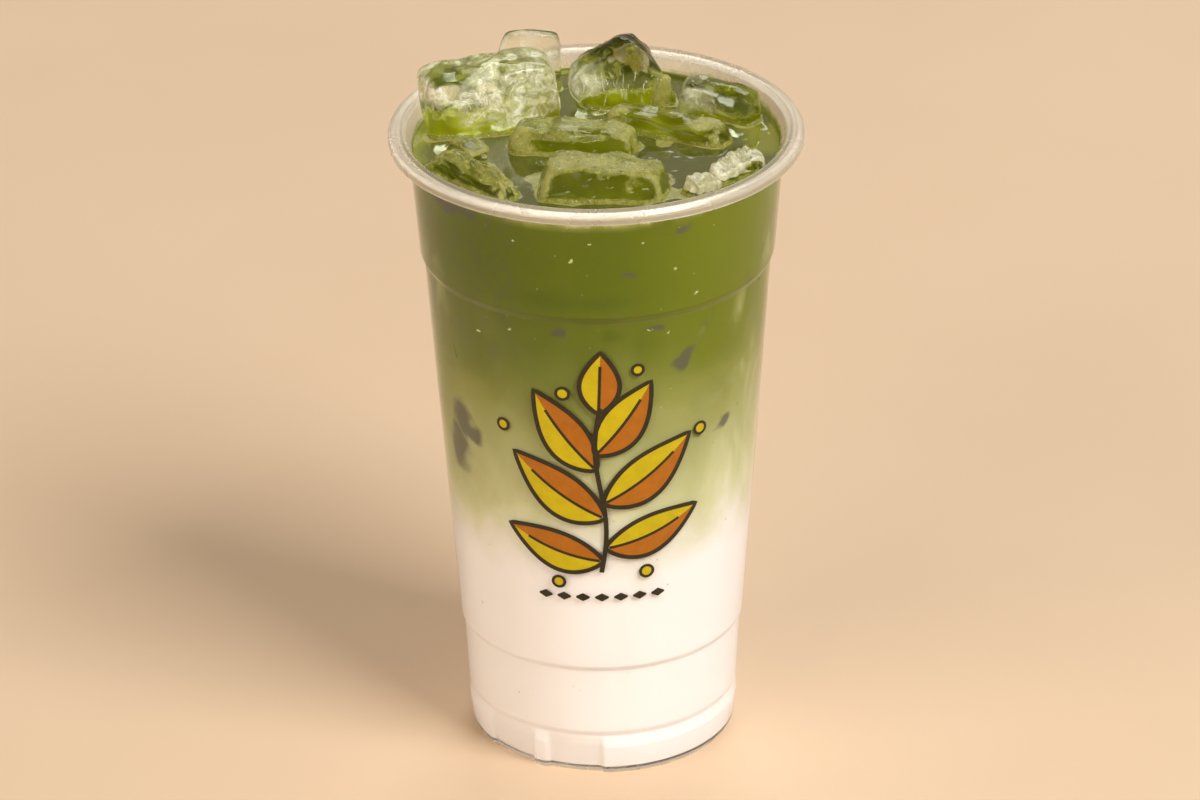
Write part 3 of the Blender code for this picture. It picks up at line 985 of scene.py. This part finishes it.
froth_foam, tree, shader = new_material("froth_foam")
cover = mark(tree, "cover")
grain = noise_on(tree, 900.0, 4.0, Roughness=0.6)
cells = add(tree, "ShaderNodeTexVoronoi", {"Vector": place_on(tree), "Scale": 2600.0}).outputs["Distance"]
thick = reckon(tree, "MULTIPLY_ADD", cover, 0.35, grain)
edge = reckon(tree, "MULTIPLY_ADD", grain, 0.9, cover)
sockets = {
    "Base Color": ramp(tree, thick, (0.45, FROTH), (0.95, FROTH_PALE)),
    "Alpha": ranged(tree, edge, 0.62, 1.30, 0.0, 0.92),
    "Normal": bump(tree, cells, 0.6, 0.0002),
    "Roughness": 0.38,
}
fill(tree, shader, sockets)


def froth_values(node_name, seed):
    """How thickly froth lies at each point of an ice block. It has no veil under it."""
    on_top, on_edge = FROTH_COVER[node_name]
    drift = Vector((seed * 5.1, seed * 1.7, -seed * 2.3))
    values = []
    for vertex, bend in zip(ice_pieces[node_name].data.vertices, edge_of[node_name]):
        place = vertex.co
        patch = noise.noise(place * 200.0 + drift) * 0.6 + noise.noise(place * 560.0 - drift) * 0.35
        above = smooth(place.z - LEVEL_Z, -0.0010, 0.0006)
        top = smooth(vertex.normal.z, 0.35, 0.85) * on_top
        edge = smooth(bend, 0.12, 0.65) * on_edge * above * smooth(vertex.normal.z, -0.35, 0.05)
        at_level = 0.7 * (1.0 - smooth(abs(place.z - LEVEL_Z - 0.0003), 0.0003, WET_BAND))
        dab = max(s * (1.0 - (place - Vector((x, y, z))).length / reach) for x, y, z, reach, s in DABS)
        most = max(top, edge, at_level, min(dab * 1.3 + patch * 0.9, 1.0) if dab > -0.3 else 0.0)
        values.append(most + patch * 0.8 * smooth(most, 0.0, 0.4))
    return values, [0.0] * len(values)


def covered_faces(mesh, values):
    """The faces that a film covers, with more taken in until no corner joins two separate patches."""
    around = {i: set() for i in range(len(values))}
    for face in mesh.polygons:
        for i in face.vertices:
            around[i].add(face.index)
    kept = {face.index for face in mesh.polygons if max(values[i] for i in face.vertices) > LEAST_COVER}
    pinched = True
    while pinched:
        borders = {}
        for index in kept:
            for key in mesh.polygons[index].edge_keys:
                borders[key] = borders.get(key, 0) + 1
        ends = [i for key, count in borders.items() if count == 1 for i in key]
        pinched = {i for i in ends if ends.count(i) > 2}
        for i in pinched:
            kept |= around[i]
    return [mesh.polygons[index] for index in sorted(kept)]


def film_on_ice(name, value_lists, material):
    """A thin closed film over the ice blocks, wherever its cover is above nothing."""
    builder = bmesh.new()
    cover_layer = builder.verts.layers.float.new("cover")
    veil_layer = builder.verts.layers.float.new("veil")
    for block, (values, veils) in zip(ice_pieces.values(), value_lists):
        kept = covered_faces(block.data, values)
        outer, inner = {}, {}
        for i in sorted({i for face in kept for i in face.vertices}):
            vertex = block.data.vertices[i]
            outer[i] = builder.verts.new(vertex.co + vertex.normal * FILM_LIFT)
            inner[i] = builder.verts.new(vertex.co - vertex.normal * FILM_SINK)
            for corner in (outer[i], inner[i]):
                corner[cover_layer] = values[i]
                corner[veil_layer] = veils[i]
        sides = {}
        for face in kept:
            loop = face.vertices[:]
            builder.faces.new([outer[i] for i in loop])
            builder.faces.new([inner[i] for i in reversed(loop)])
            for a, b in zip(loop, loop[1:] + loop[:1]):
                key = (min(a, b), max(a, b))
                sides[key] = None if key in sides else (a, b)
        for a, b in filter(None, sides.values()):
            builder.faces.new((outer[b], outer[a], inner[a], inner[b]))
    film = new_piece(name, mesh_from(builder, name), material)
    film.visible_shadow = False
    return film


froth_lists = [froth_values(node_name, seed) for seed, node_name in enumerate(ice_pieces, 1)]
froth = film_on_ice("froth_on_ice", froth_lists, froth_foam)
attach(froth, "root")


# Frost on the ice
# Where the blocks were knocked apart their skin is crazed white, most of all on the big block at the back.
# It is part of the ice, and shows as a thin layer of cracks and frosted patches.
# As node: strength of the cracks and of the veil under them, left, right, low and high end of where they lie
FROST = {
    "ice_back_left": (1.0, 0.07, -0.0445, 0.000, 0.1492, 0.172),
    "ice_far_back": (0.15, 0.0, -0.030, 0.000, 0.1560, 0.170),
    "ice_peak": (0.42, 0.12, -0.012, 0.003, 0.1490, 0.1570),
    "ice_right_back": (0.45, 0.10, 0.016, 0.029, 0.1480, 0.160),
    "ice_right_front": (1.0, 0.50, 0.018, 0.049, 0.1460, 0.164),
    "ice_ribbed_chip": (0.9, 0.50, 0.008, 0.034, 0.1460, 0.164),
    "ice_left_small": (0.5, 0.15, -0.040, -0.020, 0.1480, 0.160),
}
FROST_EDGE = 0.004

frost_white, tree, shader = new_material("frost_white")
wobble = {"Vector": place_on(tree), "Scale": 260.0, "Detail": 3.0}
wobble = add(tree, "ShaderNodeTexNoise", wobble).outputs["Color"]
bent = {0: wobble, 1: (0.004, 0.004, 0.004), 2: place_on(tree)}
bent = add(tree, "ShaderNodeVectorMath", bent, operation="MULTIPLY_ADD").outputs[0]
cracks = {"Vector": bent, "Scale": 420.0}
cracks = add(tree, "ShaderNodeTexVoronoi", cracks, feature="DISTANCE_TO_EDGE").outputs["Distance"]
cracks = ranged(tree, cracks, 0.0, 0.13, 0.30, 0.0)
patches = noise_on(tree, 230.0, 5.0, bent, Roughness=0.62, Distortion=1.2)
white = reckon(tree, "ADD", cracks, ranged(tree, patches, 0.47, 0.67, 0.0, 0.95), clamp=True)
sockets = {
    "Base Color": ramp(tree, patches, (0.4, (0.66, 0.60, 0.40)), (0.65, (0.92, 0.89, 0.74))),
    "Alpha": reckon(tree, "MULTIPLY_ADD", white, mark(tree, "cover"), mark(tree, "veil"), clamp=True),
    "Normal": bump(tree, patches, 0.5, 0.0004),
    "Roughness": 0.22,
}
fill(tree, shader, sockets)


def frost_values(node_name):
    """How white each point of an ice block is frosted, and how thick the veil under the cracks is."""
    strength, veil_strength, left, right, low, high = FROST.get(node_name, (0.0,) * 6)
    covers, veils = [], []
    for vertex in ice_pieces[node_name].data.vertices:
        place = vertex.co
        wander = noise.noise(place * 190.0) * 0.0030 - 0.0055 * smooth(-place.x, 0.026, 0.036)
        inside = smooth(place.x - left, 0.0, FROST_EDGE) * smooth(right - place.x, 0.0, FROST_EDGE)
        inside *= smooth(place.z + wander - low, 0.0, FROST_EDGE * 0.5)
        inside *= smooth(high - place.z, 0.0, FROST_EDGE)
        inside *= 1.0 - (0.55 + 0.40 * smooth(-place.x, 0.012, 0.022)) * smooth(vertex.normal.z, 0.45, 0.85)
        cloud = max(0.75 + noise.noise(place * 150.0) * 0.9, 0.0)
        covers.append(strength * inside * cloud)
        veils.append(veil_strength * inside * (1.0 + 4.0 * smooth(-place.x, 0.028, 0.036)))
    return covers, veils


frost = film_on_ice("frost_on_ice", [frost_values(node_name) for node_name in ice_pieces], frost_white)
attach(frost, "root")


# Air in the ice
# Water froze from the outside in and drove its air into fine needles at the heart of each block.
# As node: how many needles, their length, and the direction they run in
NEEDLES = {
    "ice_peak": (34, 0.0013, (0.15, -0.25, 1.0)),
    "ice_back_left": (40, 0.0007, (0.9, 0.1, 0.5)),
    "ice_right_back": (14, 0.0006, (0.3, 0.1, 1.0)),
    "ice_front": (12, 0.0006, (1.0, 0.2, 0.3)),
    "ice_middle": (10, 0.0006, (1.0, 0.0, 0.4)),
    "ice_right_front": (10, 0.0004, (0.4, 0.3, 1.0)),
}
NEEDLE_WIDTH = 0.10
NEEDLE_STRAY = 0.25
# Each place that falls outside the ice takes this much off the number still wanted
MISS_COST = 0.05


def bead_tree():
    """Sets a stretched ball on every point, sized and aimed by the point's own values."""
    inputs = {"Points": "Geometry", "Width": "Float", "Height": "Float", "Roundness": "Int"}
    tree, given = open_tree("beads_on_points", {**inputs, "Material": "Material"})
    size = mark_in(tree, "size")
    wide = reckon(tree, "MULTIPLY", size, given["Width"])
    tall = reckon(tree, "MULTIPLY", size, given["Height"])
    aimed = {"Vector": mark_in(tree, "way", "FLOAT_VECTOR")}
    ball = {"Radius": 1.0, "Subdivisions": given["Roundness"]}
    sockets = {
        "Points": given["Points"],
        "Instance": add(tree, "GeometryNodeMeshIcoSphere", ball).outputs[0],
        "Rotation": add(tree, "FunctionNodeAlignRotationToVector", aimed, axis="Z").outputs[0],
        "Scale": add(tree, "ShaderNodeCombineXYZ", {"X": wide, "Y": wide, "Z": tall}).outputs[0],
    }
    return close_tree(tree, add(tree, "GeometryNodeInstanceOnPoints", sockets).outputs[0], given["Material"])


BEADS = bead_tree()


def beads(name, points, width, height, roundness, material):
    """A piece of many beads from rows of place, direction and size."""
    start = bpy.data.meshes.new(name + "_points")
    start.from_pydata([place for place, _, _ in points], [], [])
    ways = start.attributes.new("way", "FLOAT_VECTOR", "POINT")
    ways.data.foreach_set("vector", [value for _, way, _ in points for value in way])
    write_marks(start, {"size": [size for _, _, size in points]})
    values = {"Width": width, "Height": height, "Roundness": roundness, "Material": material}
    piece = grown(name, start, BEADS, values)
    piece.visible_shadow = False
    return piece


air_white, tree, shader = new_material("air_white")
dust = noise_on(tree, 1500.0, 2.0)
colour = ramp(tree, dust, (0.4, (0.70, 0.70, 0.55)), (0.6, (0.88, 0.87, 0.78)))
fill(tree, shader, {"Base Color": colour, "Alpha": ranged(tree, dust, 0.0, 1.0, 0.25, 0.7), "Roughness": 0.1})

chance = random.Random(11)
needle_points = []
for node_name, tree in ice_trees.items():
    wanted, length, way = NEEDLES.get(node_name, (0, 0.0, ()))
    low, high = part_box(node_name)
    made = 0
    while made < wanted:
        place = Vector([chance.triangular(a, b) for a, b in zip(low, high)])
        found, normal, _, gap = tree.find_nearest(place)
        if (place - found).dot(normal) > 0.0 or gap < length * 0.8:
            wanted -= MISS_COST
            continue
        size = length * chance.uniform(0.5, 1.2)
        aim = [value + chance.uniform(-NEEDLE_STRAY, NEEDLE_STRAY) for value in way]
        needle_points.append((place, aim, size))
        made += 1
needles = beads("air_needles", needle_points, NEEDLE_WIDTH, 1.0, 2, air_white)
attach(needles, "root")


# Bubbles
# Single bubbles stand out of the froth along the edges of the ice and round the wall.
# They are blown by the whisk, and none is wider than half a millimetre.
BUBBLES_PER_M2 = 1500000.0
BUBBLE_SMALL = 0.00006
BUBBLE_LARGE = 0.00022
BUBBLE_SEED = 5


def bubble_tree():
    """Scatters small balls over a mesh where its cover value is high."""
    inputs = {"Froth": "Geometry", "Density": "Float", "Small": "Float", "Large": "Float"}
    tree, given = open_tree("bubbles_on_froth", {**inputs, "Seed": "Int", "Material": "Material"})
    share = ranged(tree, mark_in(tree, "cover"), 0.45, 1.1)
    points = {"Mesh": given["Froth"], "Density": reckon(tree, "MULTIPLY", share, given["Density"])}
    points = add(tree, "GeometryNodeDistributePointsOnFaces", {**points, "Seed": given["Seed"]})
    draw = add(tree, "FunctionNodeRandomValue", {"Seed": given["Seed"], 2: 0.0, 3: 1.0}, data_type="FLOAT")
    bent = reckon(tree, "POWER", draw.outputs[1], 3.0)
    sockets = {
        "Points": points.outputs["Points"],
        "Instance": add(tree, "GeometryNodeMeshIcoSphere", {"Radius": 1.0, "Subdivisions": 2}).outputs[0],
        "Scale": ranged(tree, bent, 0.0, 1.0, given["Small"], given["Large"]),
    }
    return close_tree(tree, add(tree, "GeometryNodeInstanceOnPoints", sockets).outputs[0], given["Material"])


bubble_skin, tree, shader = new_material("bubble_skin")
colour = ramp(tree, noise_on(tree, 800.0, 2.0), (0.35, (0.30, 0.30, 0.09)), (0.65, (0.62, 0.60, 0.32)))
fill(tree, shader, {"Base Color": colour, "Roughness": 0.12, "Coat Weight": 0.6})
values = {
    "Density": BUBBLES_PER_M2,
    "Small": BUBBLE_SMALL,
    "Large": BUBBLE_LARGE,
    "Seed": BUBBLE_SEED,
    "Material": bubble_skin,
}
bubbles = grown("froth_bubbles", froth.data.copy(), bubble_tree(), values)
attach(bubbles, "root")


# Wet film on the wall
# Tea that was swilled up the inside of the cup and ran back, leaving a film that thins upwards.
# It is deepest at the right, where the drink leans against the wall.
FILM_THICKNESS = 0.00014
FILM_BITE = 0.00003
FILM_STEPS = 300
FILM_ROWS = 10
FILM_FOOT = 0.0002
FILM_LOW = 0.0016
FILM_HIGH = 0.0034

tea_film, tree, shader = new_material("tea_film")
cover = mark(tree, "cover")
runs = noise_on(tree, 420.0, 4.0, place_on(tree, (1.0, 1.0, 0.5)))
colour = ramp(tree, cover, (0.1, (0.50, 0.50, 0.24)), (0.8, (0.20, 0.24, 0.006)))
alpha = ranged(tree, reckon(tree, "MULTIPLY_ADD", runs, 0.7, cover), 0.45, 1.20, 0.0, 0.9)
fill(tree, shader, {"Base Color": colour, "Alpha": alpha, "Roughness": 0.12})

builder = bmesh.new()
cover_layer = builder.verts.layers.float.new("cover")
outer_rows, inner_rows = [], []
for row in range(FILM_ROWS + 1):
    share = row / FILM_ROWS
    outer_rows.append([])
    inner_rows.append([])
    for step in range(FILM_STEPS):
        angle = step / FILM_STEPS * math.tau
        out = Vector((math.cos(angle), math.sin(angle), 0.0))
        wander = held(noise.noise(out * 5.0) * 0.5 + noise.noise(out * 14.0) * 0.3 + 0.5)
        at_right = smooth(math.cos(angle - 0.3), 0.6, 0.98)
        tall = FILM_LOW + (FILM_HIGH - FILM_LOW) * (wander * 0.7 + at_right * 0.8)
        height = LEVEL_Z + FILM_FOOT + tall * share
        wall = skin_radius(height) - SHEET
        deep = FILM_THICKNESS * (1.0 - share * 0.6)
        for ring, radius in ((outer_rows[-1], wall + FILM_BITE), (inner_rows[-1], wall - deep)):
            vertex = builder.verts.new((radius * math.cos(angle), radius * math.sin(angle), height))
            vertex[cover_layer] = (1.0 - share) * (0.75 + 0.45 * at_right)
            ring.append(vertex)
loop = outer_rows + inner_rows[::-1] + outer_rows[:1]
for first, second in zip(loop, loop[1:]):
    for i in range(FILM_STEPS):
        j = (i + 1) % FILM_STEPS
        builder.faces.new((first[i], first[j], second[j], second[i]))
bmesh.ops.recalc_face_normals(builder, faces=builder.faces)
film = new_piece("wet_film", mesh_from(builder, "wet_film"), tea_film)
film.visible_shadow = False
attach(film, "root")


# Print
# Screen print in three opaque inks on the outside of the cup: yellow and orange fields in dark brown lines.
# The design is a plain leafy sprig with berries, and a row of lozenges under it.
LINE = 0.0011
FINE_LINE = 0.0007
FIELD_LIFT = (0.00002, 0.00005)
LINE_LIFT = (0.00003, 0.00008)
STEM_FOOT = 0.0560
STEM_TOP = 0.1000
STEM_SWAY = 0.0012
# As height on the stem, heading in degrees, length, half width and bend
LEAVES = (
    (0.0590, -82, 0.0235, 0.0050, 0.18),
    (0.0625, 80, 0.0235, 0.0050, -0.18),
    (0.0705, -63, 0.0265, 0.0056, 0.16),
    (0.0745, 62, 0.0260, 0.0056, -0.16),
    (0.0835, -44, 0.0245, 0.0053, 0.14),
    (0.0875, 43, 0.0225, 0.0052, -0.14),
    (0.0985, 2, 0.0160, 0.0046, 0.0),
)
BERRIES = (
    (-0.0085, 0.1035, 0.0015),
    (0.0088, 0.1095, 0.0013),
    (-0.0235, 0.0925, 0.0014),
    (0.0245, 0.0905, 0.0015),
    (-0.0100, 0.0530, 0.0014),
    (0.0105, 0.0555, 0.0015),
)
LOZENGE_HEIGHT = 0.0492
LOZENGE_PITCH = 0.0044
LOZENGE_LENGTH = 0.0032
LOZENGE_COUNT = 7
# Steps along the stem, a leaf's fields, its edge and its rib, and round a berry
STEM_STEPS = 24
LEAF_STEPS = 24
LEAF_EDGE_STEPS = 28
LEAF_RIB_STEPS = 12
BERRY_STEPS = 24
BERRY_RINGS = (0.05, 0.5, 1.0)
LOZENGE_STEPS = 6


def ink(name, light, dark):
    """Screen ink: a little uneven in strength, with a soft gloss."""
    material, tree, shader = new_material(name)
    grain = noise_on(tree, 320.0, 5.0, Roughness=0.65)
    sockets = {
        "Base Color": ramp(tree, grain, (0.35, dark), (0.65, light)),
        "Roughness": ranged(tree, grain, 0.0, 1.0, 0.28, 0.45),
        "Normal": bump(tree, grain, 0.1, 0.0001),
        "Specular IOR Level": 0.3,
    }
    fill(tree, shader, sockets)
    return material


INKS = (
    ink("yellow_ink", (0.62, 0.50, 0.006), (0.54, 0.43, 0.004)),
    ink("orange_ink", (0.47, 0.155, 0.008), (0.40, 0.130, 0.006)),
    ink("brown_ink", (0.036, 0.028, 0.012), (0.028, 0.021, 0.009)),
)
YELLOW, ORANGE, BROWN = range(3)


def on_wall(across, height, lift):
    """A point of the front of the cup, by its distance round the wall and its height."""
    radius = skin_radius(height) + lift
    angle = across / skin_radius(height)
    return radius * math.sin(angle), -radius * math.cos(angle), height


def lay_ink(builder, rows, lifts, colour_index, closed=False):
    """A thin closed layer of ink over a grid of flat points."""
    count = len(rows)
    under, over = [[[on_wall(x, z, lift) for x, z in row] for row in rows] for lift in lifts]
    under, over = [[[builder.verts.new(point) for point in row] for row in layer] for layer in (under, over)]
    made = []
    for i in range(count if closed else count - 1):
        j = (i + 1) % count
        for k in range(len(rows[0]) - 1):
            made.append((under[i][k + 1], under[j][k + 1], under[j][k], under[i][k]))
            made.append((over[i][k], over[j][k], over[j][k + 1], over[i][k + 1]))
        for k in (0, -1):
            made.append((under[i][k], under[j][k], over[j][k], over[i][k]))
    if not closed:
        for i in (0, -1):
            for k in range(len(rows[0]) - 1):
                made.append((under[i][k], under[i][k + 1], over[i][k + 1], over[i][k]))
    for corners in made:
        builder.faces.new(corners).material_index = colour_index


def ribbon(points, width, closed=False):
    """Rows across a flat line: each point pushed to both sides by half the line's width."""
    rows = []
    last = len(points) - 1
    for i, (x, z) in enumerate(points):
        before = points[i - 1] if closed or i > 0 else points[i]
        after = points[(i + 1) % (last + 1)] if closed or i < last else points[i]
        run, rise = after[0] - before[0], after[1] - before[1]
        length = math.hypot(run, rise)
        side_x, side_z = -rise / length * width / 2, run / length * width / 2
        rows.append([(x + side_x, z + side_z), (x - side_x, z - side_z)])
    return rows


def stem_point(share):
    """A point of the swaying stem, by how far up it lies."""
    return STEM_SWAY * math.sin(share * math.tau), STEM_FOOT + (STEM_TOP - STEM_FOOT) * share


def leaf_point(foot, heading, length, half_width, bend, along, side):
    """A point of a leaf, by how far along it lies and how far to the side, from -1 to 1."""
    half = half_width * math.sin(math.pi * along**0.85) ** 0.9 if 0.0 < along < 1.0 else 0.0
    x = bend * length * along * along + side * half
    z = length * along
    ahead, aside = math.cos(math.radians(heading)), math.sin(math.radians(heading))
    return foot[0] + x * ahead + z * aside, foot[1] + z * ahead - x * aside


builder = bmesh.new()
stem = [stem_point(step / STEM_STEPS) for step in range(STEM_STEPS + 1)]
lay_ink(builder, ribbon(stem, LINE), LINE_LIFT, BROWN)
for height, *form in LEAVES:
    share = min((height - STEM_FOOT) / (STEM_TOP - STEM_FOOT), 1.0)
    shape = ((stem_point(share)[0], height), *form)
    for low_side, colour_index in ((-1.0, YELLOW), (0.0, ORANGE)):
        sides = [low_side + k / 4 for k in range(5)]
        rows = [[leaf_point(*shape, i / LEAF_STEPS, side) for side in sides] for i in range(1, LEAF_STEPS)]
        lay_ink(builder, rows, FIELD_LIFT, colour_index)
    edge = [leaf_point(*shape, i / LEAF_EDGE_STEPS, -1.0) for i in range(LEAF_EDGE_STEPS)]
    edge += [leaf_point(*shape, 1.0 - i / LEAF_EDGE_STEPS, 1.0) for i in range(LEAF_EDGE_STEPS)]
    lay_ink(builder, ribbon(edge, LINE, True), LINE_LIFT, BROWN, closed=True)
    rib = [leaf_point(*shape, 0.04 + 0.74 * i / LEAF_RIB_STEPS, 0.0) for i in range(LEAF_RIB_STEPS + 1)]
    lay_ink(builder, ribbon(rib, FINE_LINE), LINE_LIFT, BROWN)
for x, z, reach in BERRIES:
    turns = [step / BERRY_STEPS * math.tau for step in range(BERRY_STEPS)]
    circle = [(x + reach * math.cos(turn), z + reach * math.sin(turn)) for turn in turns]
    rows = [[(x + (a - x) * share, z + (b - z) * share) for share in BERRY_RINGS] for a, b in circle]
    lay_ink(builder, rows, FIELD_LIFT, YELLOW, closed=True)
    lay_ink(builder, ribbon(circle, FINE_LINE, True), LINE_LIFT, BROWN, closed=True)
for number in range(LOZENGE_COUNT):
    rows = []
    for step in range(LOZENGE_STEPS + 1):
        share = step / LOZENGE_STEPS
        half = 0.0002 + 0.0009 * (1.0 - abs(share * 2.0 - 1.0))
        across = (number - (LOZENGE_COUNT - 1) / 2) * LOZENGE_PITCH + (share - 0.5) * LOZENGE_LENGTH
        rows.append([(across, LOZENGE_HEIGHT - half), (across, LOZENGE_HEIGHT + half)])
    lay_ink(builder, rows, FIELD_LIFT, BROWN)
bmesh.ops.recalc_face_normals(builder, faces=builder.faces)
leaf_print = new_piece("leaf_print", mesh_from(builder, "leaf_print"), *INKS)
leaf_print.data.set_sharp_from_angle(angle=math.radians(40))
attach(leaf_print, "root")


# Bubbles on the wall
# Air that came out of the drink clings to the inside of the cup in bright specks, mostly in small clusters.
# As angle from the front, height and size of each cluster
CLUSTERS = (
    (-2.6, 0.1429, 0.00034),
    (-8.2, 0.1384, 0.00036),
    (24.5, 0.1346, 0.00036),
    (32.5, 0.1269, 0.00028),
    (-44.1, 0.1149, 0.00026),
    (14.0, 0.1425, 0.00018),
    (-27.0, 0.1420, 0.00020),
    (-30.5, 0.1180, 0.00022),
    (17.0, 0.1192, 0.00024),
    (23.5, 0.1178, 0.00022),
    (18.0, 0.1010, 0.00022),
    (96.0, 0.1330, 0.00030),
    (143.0, 0.1240, 0.00030),
    (-128.0, 0.1350, 0.00030),
)
CLUSTER_COUNT = 5
CLUSTER_SPREAD = 0.0006
LONE_BUBBLES = 110
LONE_LOW = 0.096
LONE_RANGE = 0.052
LONE_SMALL = 0.00006
LONE_LARGE = 0.00014
SKIN_OVER_BUBBLE = 0.00042

air_bright, tree, shader = new_material("air_bright")
colour = ramp(tree, noise_on(tree, 2400.0, 2.0), (0.40, (0.42, 0.43, 0.10)), (0.62, (0.90, 0.88, 0.52)))
fill(tree, shader, {"Base Color": colour, "Roughness": 0.08, "Coat Weight": 1.0})


def wall_beads(name, specks, over, height, roundness, material):
    """A piece of beads on the wall, from rows of angle, height and size, set over its outer skin."""
    rows = []
    for angle, z, size in specks:
        turn = math.radians(angle)
        out = Vector((math.sin(turn), -math.cos(turn), 0.0))
        rows.append((out * (skin_radius(z) + over) + Vector((0.0, 0.0, z)), out, size))
    return beads(name, rows, 1.0, height, roundness, material)


chance = random.Random(31)
specks = []
for angle, height, size in CLUSTERS:
    for number in range(CLUSTER_COUNT):
        reach = CLUSTER_SPREAD * number / CLUSTER_COUNT
        turn_by = math.degrees(chance.uniform(-reach, reach) / skin_radius(height)) * 2.0
        up = height + chance.uniform(-reach, reach)
        specks.append((angle + turn_by, up, size * chance.uniform(0.35, 1.0)))
for _ in range(LONE_BUBBLES):
    height = LONE_LOW + LONE_RANGE * chance.random() ** 0.7
    specks.append((chance.uniform(-180.0, 180.0), height, chance.uniform(LONE_SMALL, LONE_LARGE)))
wall_air = wall_beads("wall_bubbles", specks, -SKIN_OVER_BUBBLE, 0.5, 2, air_bright)
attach(wall_air, "root")


# Drops on the cup
# The first beads of dew stand on the outside of the cold cup, and one long drop has run down the left.
# They are water, flattened where they sit on the plastic.
DEW_COUNT = 100
DEW_SMALL = 0.00012
DEW_LARGE = 0.00034
DEW_LOW = 0.014
DEW_HIGH = 0.146
RUN_ANGLE = -57.7
RUN_LOW = 0.1050
RUN_HIGH = 0.1085
RUN_STEPS = 5

dew_water, tree, shader = new_material("dew_water")
ripple = noise_on(tree, 1800.0, 2.0)
sockets = {
    "Base Color": ramp(tree, ripple, (0.3, (0.96, 0.98, 0.92)), (0.7, (1.0, 1.0, 0.97))),
    "Roughness": ranged(tree, ripple, 0.0, 1.0, 0.0, 0.06),
    "Transmission Weight": 1.0,
    "IOR": 1.33,
}
fill(tree, shader, sockets)

chance = random.Random(23)
drops = []
for _ in range(DEW_COUNT):
    height = chance.uniform(DEW_LOW, DEW_HIGH)
    drops.append((chance.uniform(-180.0, 180.0), height, chance.uniform(DEW_SMALL, DEW_LARGE)))
for step in range(RUN_STEPS):
    share = step / (RUN_STEPS - 1)
    drops.append((RUN_ANGLE - share, RUN_LOW + (RUN_HIGH - RUN_LOW) * share, DEW_LARGE * (1.6 - share)))
dew = wall_beads("dew_drops", drops, 0.0, 0.55, 3, dew_water)
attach(dew, "root")


# Closing lines
# The box of the dressed scene, without the backdrop and the hidden CAD parts.
low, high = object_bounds()
